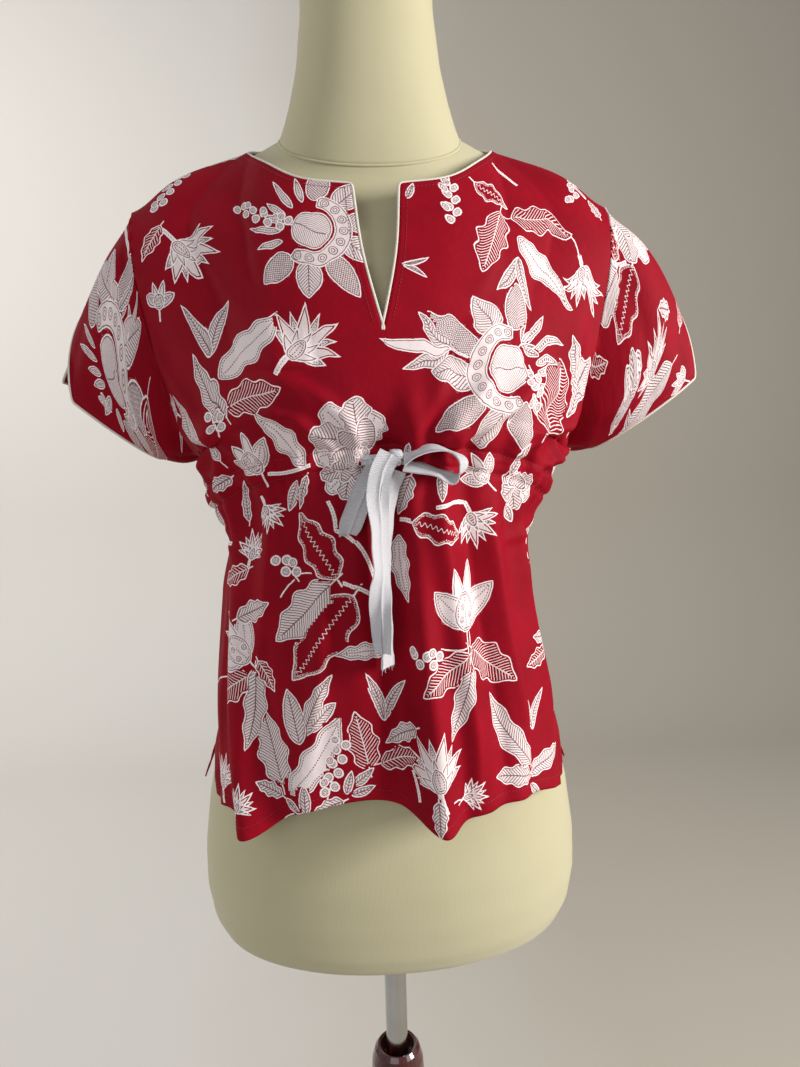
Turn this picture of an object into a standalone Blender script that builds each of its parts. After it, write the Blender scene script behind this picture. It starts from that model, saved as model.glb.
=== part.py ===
"""Short-sleeved batik top with a drawstring casing under the bust, worn by a limbless dress form on a turned stand.

Metres, +Z up. The top faces -Y, and the origin is the centre of the base's flat underside.
"""

import math

import bmesh
import bpy
import numpy as np
from mathutils import Vector
from mathutils.bvhtree import BVHTree

# Cloth and seams
CLOTH = 0.0016
SEAM_GAP = 0.0010
FORM_CLEARANCE = 0.0030
PIPING_RADIUS = 0.0014
TAPE_WIDTH = 0.0155
TAPE = 0.0012

# Rows of a panel, as shares of its length from neck to hem
SLIT_END = 0.24
UNDERARM = 0.37
CASING = 0.44
VENT_TOP = 0.855

# Stand
POLE_RADIUS = 0.0105
COLUMN_TOP = 0.622
BASE_RADIUS = 0.175
BASE_HEIGHT = 0.026

# Centre line of each panel: share of length, half the slit's opening, depth, height
FRONT_CENTRE = (
    (0.00, 0.0175, -0.070, 1.405),
    (0.12, 0.0125, -0.097, 1.352),
    (0.21, 0.0058, -0.113, 1.311),
    (0.24, 0.0000, -0.118, 1.297),
    (0.37, 0.0000, -0.129, 1.245),
    (0.44, 0.0000, -0.118, 1.210),
    (0.50, 0.0000, -0.120, 1.180),
    (0.62, 0.0000, -0.125, 1.122),
    (0.80, 0.0000, -0.131, 1.035),
    (1.00, 0.0000, -0.134, 0.956),
)
BACK_CENTRE = (
    (0.00, 0.0, 0.066, 1.463),
    (0.10, 0.0, 0.090, 1.425),
    (0.24, 0.0, 0.114, 1.345),
    (0.37, 0.0, 0.112, 1.270),
    (0.44, 0.0, 0.104, 1.228),
    (0.50, 0.0, 0.107, 1.198),
    (0.62, 0.0, 0.117, 1.135),
    (0.80, 0.0, 0.135, 1.035),
    (1.00, 0.0, 0.150, 0.916),
)

# Side seam below the underarm: share of length, half width, depth, height
FRONT_SIDE = (
    (0.37, 0.1460, 0.000, 1.205),
    (0.44, 0.1380, 0.000, 1.170),
    (0.50, 0.1220, 0.000, 1.145),
    (0.62, 0.1280, 0.000, 1.092),
    (0.855, 0.1450, 0.000, 0.980),
    (1.00, 0.1430, -0.046, 0.922),
)
BACK_SIDE = FRONT_SIDE[:-1] + ((1.00, 0.1730, 0.030, 0.900),)

# Half of each neckline from the centre to the shoulder seam: half width, depth, height
FRONT_NECK = ((0.0175, -0.070, 1.405), (0.055, -0.062, 1.411), (0.083, -0.037, 1.429), (0.099, 0.0, 1.445))
BACK_NECK = ((0.0, 0.066, 1.463), (0.045, 0.060, 1.462), (0.082, 0.036, 1.456), (0.099, 0.0, 1.445))
SKIRT_SHIFT = 0.005
SHOULDER_TIP = (0.186, 0.0, 1.411)
NECK_SHARE = 0.46

# Rings of the wearer's right and left sleeves: share of length, top x and z, low x and z, half depth, outward bulge
RIGHT_SLEEVE = (
    (0.00, 0.186, 1.411, 0.146, 1.205, 0.045, 0.012),
    (0.50, 0.221, 1.346, 0.162, 1.200, 0.046, 0.006),
    (1.00, 0.264, 1.270, 0.182, 1.204, 0.040, -0.002),
)
LEFT_SLEEVE = (
    (0.00, 0.186, 1.411, 0.146, 1.205, 0.045, 0.012),
    (0.50, 0.234, 1.350, 0.163, 1.200, 0.048, 0.008),
    (1.00, 0.276, 1.269, 0.180, 1.202, 0.041, 0.000),
)
SLEEVE_SLIT = 0.60
SLIT_FRONT = {-1: 1.05, 1: 0.75}
SLIT_BACK = 0.12

# Front folds, from the wearer's right at -1 to the left at 1: place at casing, place at hem,
# rise and half width at casing, rise and half width at hem, drop of the hem there
FRONT_FOLDS = (
    (-0.84, -0.82, 0.0030, 0.012, 0.003, 0.018, 0.000),
    (-0.64, -0.52, 0.0040, 0.011, 0.022, 0.020, 0.022),
    (-0.46, -0.30, 0.0045, 0.011, 0.008, 0.022, 0.004),
    (-0.28, -0.16, 0.0040, 0.011, 0.002, 0.018, 0.000),
    (-0.11, -0.05, 0.0035, 0.010, 0.001, 0.016, 0.000),
    (0.08, 0.125, 0.0050, 0.010, 0.028, 0.016, 0.022),
    (0.25, 0.28, 0.0040, 0.010, 0.013, 0.016, 0.009),
    (0.43, 0.43, 0.0045, 0.011, 0.010, 0.018, 0.004),
    (0.62, 0.66, 0.0035, 0.011, 0.004, 0.020, 0.000),
    (0.84, 0.84, 0.0025, 0.012, 0.002, 0.018, 0.000),
)
BACK_FOLDS = (
    (-0.80, -0.82, 0.0040, 0.012, 0.008, 0.022, 0.002),
    (-0.56, -0.54, 0.0045, 0.012, 0.018, 0.024, 0.005),
    (-0.32, -0.26, 0.0040, 0.012, 0.012, 0.024, 0.003),
    (-0.10, -0.02, 0.0045, 0.012, 0.006, 0.020, 0.000),
    (0.14, 0.24, 0.0045, 0.012, 0.016, 0.024, 0.004),
    (0.38, 0.46, 0.0040, 0.012, 0.010, 0.022, 0.002),
    (0.60, 0.66, 0.0045, 0.012, 0.015, 0.024, 0.004),
    (0.82, 0.84, 0.0040, 0.012, 0.006, 0.020, 0.002),
)

# Dress form sections: height, half width, front and back depth, tilt of the section up to the back
TORSO = (
    (0.772, 0.138, 0.084, 0.090, 0.0),
    (0.774, 0.148, 0.094, 0.102, 0.0),
    (0.782, 0.158, 0.103, 0.112, 0.0),
    (0.797, 0.165, 0.109, 0.118, 0.0),
    (0.825, 0.169, 0.113, 0.124, 0.0),
    (0.860, 0.168, 0.115, 0.126, 0.0),
    (0.910, 0.161, 0.112, 0.119, 0.0),
    (0.960, 0.149, 0.107, 0.107, 0.0),
    (1.010, 0.134, 0.100, 0.093, 0.0),
    (1.065, 0.117, 0.094, 0.083, 0.0),
    (1.120, 0.113, 0.095, 0.083, 0.0),
    (1.180, 0.120, 0.099, 0.090, 0.0),
    (1.230, 0.131, 0.103, 0.096, 0.0),
    (1.280, 0.142, 0.103, 0.102, 0.05),
    (1.325, 0.151, 0.096, 0.105, 0.12),
    (1.365, 0.161, 0.084, 0.101, 0.20),
    (1.392, 0.165, 0.072, 0.087, 0.30),
    (1.408, 0.160, 0.063, 0.075, 0.40),
    (1.422, 0.140, 0.056, 0.066, 0.50),
    (1.436, 0.110, 0.052, 0.063, 0.58),
    (1.447, 0.086, 0.050, 0.057, 0.63),
    (1.454, 0.073, 0.050, 0.055, 0.64),
)
NECK = (
    (1.4545, 0.0725, 0.0500, 0.0550, 0.64),
    (1.466, 0.0680, 0.0495, 0.0530, 0.52),
    (1.482, 0.0630, 0.0490, 0.0510, 0.36),
    (1.506, 0.0570, 0.0490, 0.0490, 0.16),
    (1.545, 0.0520, 0.0490, 0.0480, 0.0),
    (1.572, 0.0515, 0.0480, 0.0475, 0.0),
    (1.581, 0.0480, 0.0450, 0.0450, 0.0),
    (1.584, 0.0400, 0.0380, 0.0380, 0.0),
)
BACK_TILT = 0.3
BUST = {"x": 0.076, "z": 1.262, "rise": 0.024, "wide": 0.046, "tall": 0.044}

# Tape routes, wearer's right and left: x, y, z of the middle, then the direction across the tape
LOOP_RIGHT = (
    (-0.0065, -0.1275, 1.2045, 0.60, 0.05, -0.60),
    (-0.0125, -0.1290, 1.1950, 0.75, 0.05, -0.50),
    (-0.0195, -0.1310, 1.1800, 0.90, 0.05, -0.35),
    (-0.0270, -0.1320, 1.1620, 0.95, 0.05, -0.30),
    (-0.0300, -0.1305, 1.1550, 0.97, 0.00, -0.22),
    (-0.0275, -0.1280, 1.1620, 0.95, 0.05, -0.30),
    (-0.0200, -0.1262, 1.1790, 0.90, 0.05, -0.35),
    (-0.0135, -0.1240, 1.1950, 0.75, 0.05, -0.50),
)
LOOP_LEFT = (
    (0.0118, -0.1310, 1.2095, 0.10, 0.55, 0.80),
    (0.0210, -0.1340, 1.2130, 0.10, 0.75, 0.62),
    (0.0330, -0.1360, 1.2165, 0.05, 0.90, 0.38),
    (0.0450, -0.1370, 1.2140, -0.20, 0.95, 0.10),
    (0.0520, -0.1370, 1.2050, -0.10, 1.00, 0.00),
    (0.0465, -0.1365, 1.1975, 0.20, 0.95, 0.20),
    (0.0340, -0.1350, 1.1985, 0.15, 0.85, 0.50),
    (0.0215, -0.1325, 1.2020, 0.10, 0.70, 0.70),
    (0.0128, -0.1305, 1.2045, 0.10, 0.60, 0.75),
)
TAIL_FRONT = (
    (0.0010, -0.1341, 1.2125, 0.90, 0.00, -0.45),
    (-0.0055, -0.1365, 1.2000, 0.95, 0.00, -0.30),
    (-0.0085, -0.1385, 1.1800, 1.00, 0.05, 0.00),
    (-0.0072, -0.1415, 1.1520, 0.95, 0.30, 0.05),
    (-0.0055, -0.1440, 1.1250, 0.90, 0.40, 0.05),
    (-0.0050, -0.1450, 1.1080, 0.80, 0.60, 0.10),
    (-0.0050, -0.1450, 1.0950, 0.95, 0.20, 0.05),
    (-0.0030, -0.1455, 1.0700, 0.97, -0.10, 0.00),
)
TAIL_BACK = (
    (0.0060, -0.1302, 1.2004, 0.95, 0.05, -0.05),
    (0.0040, -0.1330, 1.1850, 0.95, 0.05, -0.05),
    (0.0015, -0.1345, 1.1600, 0.97, 0.10, 0.00),
    (-0.0010, -0.1365, 1.1300, 0.97, 0.10, 0.00),
    (-0.0010, -0.1385, 1.1000, 0.97, 0.10, 0.00),
    (0.0010, -0.1410, 1.0600, 0.97, 0.10, 0.00),
)
# Folded stretches from the casing's two openings to the knot
EXIT_WIDTH = 0.007
EXIT_RIGHT = (
    (-0.0185, -0.1207, 1.2070, 0.0, 0.0, 1.0),
    (-0.0120, -0.1228, 1.2075, 0.0, 0.0, 1.0),
    (-0.0045, -0.1250, 1.2082, 0.0, 0.0, 1.0),
)
EXIT_LEFT = (
    (0.0245, -0.1218, 1.2050, 0.0, 0.0, 1.0),
    (0.0190, -0.1236, 1.2058, 0.0, 0.0, 1.0),
    (0.0113, -0.1252, 1.2070, 0.0, 0.0, 1.0),
)
KNOT = {"place": (0.0035, -0.1275, 1.2085), "size": (0.0145, 0.0110, 0.0140)}


def clear_scene():
    for obj in list(bpy.data.objects):
        bpy.data.objects.remove(obj, do_unlink=True)


def make_material(name, colour, roughness, metallic=0.0, coat=0.0):
    material = bpy.data.materials.new(name)
    material.use_nodes = True
    shader = material.node_tree.nodes["Principled BSDF"]
    shader.inputs["Base Color"].default_value = (*colour, 1.0)
    shader.inputs["Roughness"].default_value = roughness
    shader.inputs["Metallic"].default_value = metallic
    shader.inputs["Coat Weight"].default_value = coat
    return material


def add_object(name, points, faces, material, collection, smooth=True):
    mesh = bpy.data.meshes.new(name)
    mesh.from_pydata([tuple(p) for p in points], [], faces)
    mesh.validate()
    mesh.shade_smooth() if smooth else mesh.shade_flat()
    mesh.materials.append(material)
    obj = bpy.data.objects.new(name, mesh)
    collection.objects.link(obj)
    return obj


def smooth(places, values, at):
    """Catmull-Rom curve through the values at the given places, read at every place of `at`."""
    places = np.asarray(places, float)
    values = np.asarray(values, float)
    slopes = np.gradient(values, places, axis=0)
    at = np.clip(at, places[0], places[-1])
    low = np.clip(np.searchsorted(places, at, side="right") - 1, 0, len(places) - 2)
    span = places[low + 1] - places[low]
    t = (at - places[low]) / span
    if values.ndim > 1:
        t = t[..., None]
        span = span[..., None]
    h = (2 * t**3 - 3 * t**2 + 1, t**3 - 2 * t**2 + t, -2 * t**3 + 3 * t**2, t**3 - t**2)
    return h[0] * values[low] + h[1] * span * slopes[low] + h[2] * values[low + 1] + h[3] * span * slopes[low + 1]


def along(points, share):
    """Point at each share of the length of the smooth line through the points."""
    points = np.asarray(points, float)
    steps = np.linalg.norm(np.diff(points, axis=0), axis=1)
    lengths = np.concatenate([[0], np.cumsum(steps)])
    return smooth(lengths / lengths[-1], points, share)


def bell(x):
    return np.exp(-(x**2))


# Dress form


def section(height, half, front, back, tilt, angles):
    x = half * np.sign(np.cos(angles)) * np.abs(np.cos(angles)) ** 0.92
    depth = np.where(np.sin(angles) < 0, front, back)
    y = depth * np.sign(np.sin(angles)) * np.abs(np.sin(angles)) ** 0.92
    return np.stack([x, y, height + tilt * np.where(y < 0, y, BACK_TILT * y)], axis=-1)


def loft(table, columns):
    """Points and faces of a closed body through the sections of a table, its ends capped."""
    angles = np.linspace(0, 2 * math.pi, columns, endpoint=False)
    rings = np.array([section(*row, angles) for row in table])
    front = rings[..., 1] < 0
    bump = bell((np.abs(rings[..., 0]) - BUST["x"]) / BUST["wide"]) * bell((rings[..., 2] - BUST["z"]) / BUST["tall"])
    rings[..., 1] -= np.where(front, BUST["rise"] * bump, 0)
    faces = []
    for row in range(len(table) - 1):
        for j in range(columns):
            k = (j + 1) % columns
            faces.append((row * columns + j, row * columns + k, (row + 1) * columns + k, (row + 1) * columns + j))
    faces.append(tuple(range(columns))[::-1])
    last = (len(table) - 1) * columns
    faces.append(tuple(last + j for j in range(columns)))
    return rings.reshape(-1, 3), faces


def push_clear(points, tree, distance):
    """Moves every point that is inside the form, or too near it, out to the distance from its surface."""
    moved = points.reshape(-1, 3).copy()
    for i, point in enumerate(moved):
        near, normal, _, _ = tree.find_nearest(Vector(point))
        gap = (Vector(point) - near).dot(normal)
        if gap < distance:
            moved[i] = np.array(near) + np.array(normal) * distance
    return moved.reshape(points.shape)


# Cloth panels


def sleeve_point(share, turn, side=-1):
    """Point on the sleeve: share from armhole to cuff, turn from the top (0) past the front and underarm."""
    table = np.array(RIGHT_SLEEVE if side < 0 else LEFT_SLEEVE)
    row = smooth(table[:, 0], table[:, 1:], share)
    top_x, top_z, low_x, low_z, depth, bulge = np.moveaxis(row, -1, 0)
    across = np.sign(np.sin(turn)) * np.abs(np.sin(turn)) ** 0.9
    x = (top_x + low_x) / 2 + np.cos(turn) * (top_x - low_x) / 2 + bulge * np.abs(across)
    z = (top_z + low_z) / 2 + np.cos(turn) * (top_z - low_z) / 2
    return np.stack([x, -depth * across, z], axis=-1)


def centre_line(table, share):
    table = np.array(table)
    return smooth(table[:, 0], table[:, 1:], share)


def side_line(table, share, facing):
    """Armhole edge down to the underarm, then the side seam and the vent's edge."""
    table = np.array(table)
    below = smooth(table[:, 0], table[:, 1:], share)
    below[..., 1] *= share > VENT_TOP
    turn = math.pi * np.clip(share / UNDERARM, 0, 1)
    above = sleeve_point(np.zeros_like(share), turn * -facing)
    return np.where((share < UNDERARM)[..., None], above, below)


def top_line(neck, share):
    """Neckline to the shoulder seam, then the seam to the shoulder tip."""
    on_neck = along(neck, np.clip(share / NECK_SHARE, 0, 1))
    seam = np.array([neck[-1], (0.142, 0.0, 1.4315), SHOULDER_TIP])
    on_seam = along(seam, np.clip((share - NECK_SHARE) / (1 - NECK_SHARE), 0, 1))
    return np.where((share < NECK_SHARE)[..., None], on_neck, on_seam)


def panel_form(facing, across, down):
    """Unfolded panel surface. Across runs from -1 to 1 and down from 0 to 1; facing is -1 for the front."""
    front = facing < 0
    centre = centre_line(FRONT_CENTRE if front else BACK_CENTRE, down)
    side = side_line(FRONT_SIDE if front else BACK_SIDE, down, facing)
    u = np.abs(across)
    angle = u * math.pi / 2
    x = centre[..., 0] + (side[..., 0] - centre[..., 0]) * np.sin(angle) ** 0.94
    y = side[..., 1] + (centre[..., 1] - side[..., 1]) * np.cos(angle) ** 0.80
    z = side[..., 2] + (centre[..., 2] - side[..., 2]) * np.cos(angle) ** 1.3
    points = np.stack([x, y, z], axis=-1)
    neck = FRONT_NECK if front else BACK_NECK
    first_centre = centre_line(FRONT_CENTRE if front else BACK_CENTRE, np.zeros_like(u))
    tip = np.array(SHOULDER_TIP)
    first = np.stack(
        [
            first_centre[..., 0] + (tip[0] - first_centre[..., 0]) * np.sin(angle) ** 0.94,
            tip[1] + (first_centre[..., 1] - tip[1]) * np.cos(angle) ** 0.80,
            tip[2] + (first_centre[..., 2] - tip[2]) * np.cos(angle) ** 1.3,
        ],
        axis=-1,
    )
    fade = np.clip(1 - down / UNDERARM, 0, 1)[..., None] ** 1.3
    points = points + (top_line(neck, u) - first) * fade
    points[..., 0] *= np.where(across < 0, -1, 1)
    points[..., 0] -= SKIRT_SHIFT * bell((down - 0.66) / 0.17)
    points[..., 1] += facing * SEAM_GAP
    return points


def fold_rise(facing, across, down):
    """How far the folds lift the cloth, and how far they drop the hem."""
    table = FRONT_FOLDS if facing < 0 else BACK_FOLDS
    half = 0.185 + 0.05 * np.clip((down - CASING) / (1 - CASING), 0, 1)
    low = np.clip((down - CASING) / (1 - CASING), 0, 1)
    high = np.clip((CASING - down) / 0.13, 0, 1)
    rise = np.zeros_like(down)
    drop = np.zeros_like(down)
    for at, to, rise_at, wide_at, rise_to, wide_to, drop_to in table:
        place = at + (to - at) * low**0.8 - 0.25 * at * high
        wide = (wide_at + (wide_to - wide_at) * low + 0.006 * high) / half
        lift = rise_at + (rise_to - rise_at) * low**1.15
        rise += lift * (1 - high) ** 1.2 * bell((across - place) / wide)
        drop += drop_to * low**2 * bell((across - place) / (1.5 * wide))
    edge = np.clip((1 - np.abs(across)) / 0.24, 0, 1)
    edge = edge * edge * (3 - 2 * edge)
    pinch = 0.0022 * bell((down - CASING) / 0.018)
    return (rise - pinch) * edge, drop * edge


def panel_points(facing, across, down, tree):
    points = panel_form(facing, across, down)
    step = 1e-3
    sign = np.where(across > 0.5, -1, 1)
    beside = (panel_form(facing, across + sign * step, down) - points) * sign[..., None]
    flip = np.where(down > 0.5, -1, 1)
    below = (panel_form(facing, across, down + flip * step) - points) * flip[..., None]
    normal = np.cross(beside, below) * facing
    normal /= np.maximum(np.linalg.norm(normal, axis=-1, keepdims=True), 1e-12)
    rise, drop = fold_rise(facing, across, down)
    points = points + normal * rise[..., None]
    points[..., 2] -= drop
    return push_clear(points, tree, CLOTH + FORM_CLEARANCE)


def spaced(start, stop, count):
    return [start + (stop - start) * i / count for i in range(count)]


def panel_rows():
    """Shares down a panel, closer together about the casing."""
    return (
        spaced(0, SLIT_END, 8)
        + spaced(SLIT_END, UNDERARM, 4)
        + spaced(UNDERARM, 0.42, 2)
        + spaced(0.42, 0.46, 2)
        + spaced(0.46, VENT_TOP, 6)
        + spaced(VENT_TOP, 1, 2)
        + [1.0]
    )


def panel_sheet(facing, columns, slit, tree):
    """Points and faces of a panel. With a slit, the middle column is doubled above its end."""
    rows = panel_rows()
    half = columns // 2
    shares = np.linspace(-1, 1, columns + 1)
    right = {}
    across = []
    down = []
    for row in rows:
        for share in shares:
            across.append(share)
            down.append(row)
    if slit:
        across = [(-1e-9 if share == 0 else share) for share in across]
        for i, row in enumerate(rows):
            if row < SLIT_END - 1e-6:
                right[i] = len(across)
                across.append(1e-9)
                down.append(row)
    points = panel_points(facing, np.array(across), np.array(down), tree)
    faces = []
    for i in range(len(rows) - 1):
        for j in range(columns):
            corners = [(i, j), (i, j + 1), (i + 1, j + 1), (i + 1, j)]
            face = [right[r] if j == half and c == half and r in right else r * (columns + 1) + c for r, c in corners]
            faces.append(tuple(face if facing > 0 else face[::-1]))
    return points, faces


def thicken(obj, thickness):
    modifier = obj.modifiers.new("Cloth", "SOLIDIFY")
    modifier.thickness = thickness
    modifier.offset = -1
    modifier.use_even_offset = False
    modifier.use_rim = True


def make_panel(name, facing, columns, slit, tree, material, collection):
    points, faces = panel_sheet(facing, columns, slit, tree)
    obj = add_object(name, points, faces, material, collection)
    thicken(obj, CLOTH)
    return obj


def sleeve_edges(side, share):
    """Turns at which the sleeve's cloth starts and ends, once the slit has opened."""
    opened = np.clip((share - SLEEVE_SLIT) / (1 - SLEEVE_SLIT), 0, 1)
    return SLIT_FRONT[side] * opened, 2 * math.pi - SLIT_BACK * opened


def sleeve_surface(side, share, turn):
    points = sleeve_point(share, turn, side)
    points[..., 0] *= side
    return points


def make_sleeve(name, side, tree, material, collection):
    rows = [0.012, 0.14, 0.30, 0.46, SLEEVE_SLIT, 0.75, 0.88, 1.0]
    columns = 24
    index = {}
    share = []
    turn = []
    for i, row in enumerate(rows):
        start, end = sleeve_edges(side, row)
        for j in range(columns + 1):
            if j == columns and row <= SLEEVE_SLIT:
                index[i, j] = index[i, 0]
                continue
            index[i, j] = len(share)
            share.append(row)
            turn.append(start + (end - start) * j / columns)
    points = sleeve_surface(side, np.array(share), np.array(turn))
    points = push_clear(points, tree, CLOTH + FORM_CLEARANCE)
    faces = []
    for i in range(len(rows) - 1):
        for j in range(columns):
            face = (index[i, j], index[i + 1, j], index[i + 1, j + 1], index[i, j + 1])
            faces.append(face if side < 0 else face[::-1])
    obj = add_object(name, points, faces, material, collection)
    thicken(obj, CLOTH)
    return obj


# Piping


def edge_outward(edge, inner, distance):
    """Points moved off a cloth edge, away from the cloth."""
    away = edge - inner
    away /= np.linalg.norm(away, axis=1, keepdims=True)
    return edge + away * distance


def neck_route(tree):
    """Closed line round the neck and both edges of the slit, just off the cloth."""
    off = PIPING_RADIUS + 0.0009
    step = 0.02
    up = np.linspace(0.205, 0.015, 7)
    round_front = np.array([0.10, 0.2, 0.3, 0.4])
    round_back = np.array([0.4, 0.27, 0.14])

    def front(across, down):
        return panel_points(-1, across, down, tree)

    def back(across, down):
        return panel_points(1, across, down, tree)

    slit = edge_outward(front(0 * up + 1e-9, up), front(0 * up + 0.12, up), off)
    neck_front = edge_outward(front(round_front, 0 * round_front), front(round_front, 0 * round_front + step), off)
    zero = np.array([0.0])
    neck_side = zero + NECK_SHARE
    shoulder = edge_outward(front(neck_side, zero), front(neck_side + 0.05, zero), off)
    shoulder[:, 1] = 0
    neck_back = edge_outward(back(round_back, 0 * round_back), back(round_back, 0 * round_back + step), off)
    middle = edge_outward(back(zero, zero), back(zero, zero + step), off)
    corner = edge_outward(front(zero + 1e-9, zero), front(zero + 0.10, zero + 0.035), off * 1.3)
    half = np.concatenate([slit, corner, neck_front, shoulder, neck_back])
    for points in (half, middle):
        points += inward_normal_shift(points)
    other = half[::-1] * np.array([-1, 1, 1])
    return np.concatenate([half, middle, other])


def inward_normal_shift(points):
    """The piping's middle lies half a cloth thickness under the cloth's outer face."""
    shift = np.zeros_like(points)
    shift[:, 1] = -np.sign(points[:, 1]) * CLOTH * 0.3
    return shift


def cuff_route(side):
    """Closed line down the front edge of the slit, round the cuff and up the back edge."""
    off = PIPING_RADIUS + 0.0006
    down = np.linspace(SLEEVE_SLIT + 0.05, 0.96, 5)
    start, end = sleeve_edges(side, down)
    front = edge_outward(sleeve_surface(side, down, start), sleeve_surface(side, down, start + 0.2), off)
    back = edge_outward(sleeve_surface(side, down, end), sleeve_surface(side, down, end - 0.2), off)
    turns = np.linspace(SLIT_FRONT[side] + 0.16, 2 * math.pi - SLIT_BACK - 0.18, 22)
    cuff = edge_outward(
        sleeve_surface(side, np.ones_like(turns), turns), sleeve_surface(side, np.ones_like(turns) - 0.05, turns), off
    )
    one = np.array([1.0])
    corners = [
        edge_outward(sleeve_surface(side, one, one * turn), sleeve_surface(side, one - 0.05, one * turn + step), off * 1.4)
        for turn, step in ((SLIT_FRONT[side], 0.1), (2 * math.pi - SLIT_BACK, -0.1))
    ]
    return np.concatenate([front, corners[0], cuff, corners[1], back[::-1]])


def make_piping(name, points, material, collection):
    curve = bpy.data.curves.new(name, "CURVE")
    curve.dimensions = "3D"
    curve.bevel_depth = PIPING_RADIUS
    curve.bevel_resolution = 1
    curve.resolution_u = 1
    spline = curve.splines.new("POLY")
    spline.points.add(len(points) - 1)
    for target, point in zip(spline.points, points):
        target.co = (*point, 1.0)
    spline.use_cyclic_u = True
    curve.materials.append(material)
    obj = bpy.data.objects.new(name, curve)
    collection.objects.link(obj)
    return obj


# Drawstring


def make_tape(name, route, material, collection, width=TAPE_WIDTH, steps=3):
    """Flat tape along a route, its cross-section lofted from end to end."""
    table = np.array(route, float)
    count = (len(table) - 1) * steps + 1
    rows = smooth(np.arange(len(table)), table, np.linspace(0, len(table) - 1, count))
    middle = rows[:, :3]
    tangent = np.gradient(middle, axis=0)
    tangent /= np.linalg.norm(tangent, axis=1, keepdims=True)
    across = rows[:, 3:]
    across -= tangent * (across * tangent).sum(axis=1, keepdims=True)
    across /= np.linalg.norm(across, axis=1, keepdims=True)
    thin = np.cross(tangent, across)
    corners = ((-1, -1), (1, -1), (1, 1), (-1, 1))
    rings = [middle + across * a * width / 2 + thin * b * TAPE / 2 for a, b in corners]
    points = np.stack(rings, axis=1).reshape(-1, 3)
    faces = [(0, 3, 2, 1)]
    for i in range(count - 1):
        for j in range(4):
            k = (j + 1) % 4
            faces.append((4 * i + j, 4 * i + k, 4 * i + 4 + k, 4 * i + 4 + j))
    last = 4 * (count - 1)
    faces.append((last, last + 1, last + 2, last + 3))
    return add_object(name, points, faces, material, collection, smooth=False)


def make_knot(material, collection):
    mesh = bpy.data.meshes.new("tie_knot")
    build = bmesh.new()
    bmesh.ops.create_cube(build, size=1.0)
    bmesh.ops.scale(build, vec=KNOT["size"], verts=build.verts)
    bmesh.ops.translate(build, vec=KNOT["place"], verts=build.verts)
    build.to_mesh(mesh)
    build.free()
    mesh.materials.append(material)
    obj = bpy.data.objects.new("tie_knot", mesh)
    collection.objects.link(obj)
    modifier = obj.modifiers.new("Rounded", "BEVEL")
    modifier.width = 0.0035
    modifier.segments = 2
    return obj


# Stand


def make_turned(name, profile, material, collection, steps=32):
    """Solid turned about the stand's axis from (radius, height) pairs, run down its outer side."""
    mesh = bpy.data.meshes.new(name)
    mesh.from_pydata([(r, 0, z) for r, z in profile], [(i, i + 1) for i in range(len(profile) - 1)], [])
    mesh.materials.append(material)
    obj = bpy.data.objects.new(name, mesh)
    collection.objects.link(obj)
    modifier = obj.modifiers.new("Turned", "SCREW")
    modifier.steps = steps
    modifier.render_steps = steps
    modifier.use_merge_vertices = True
    modifier.merge_threshold = 0.0001
    modifier.use_smooth_shade = True
    return obj


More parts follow.
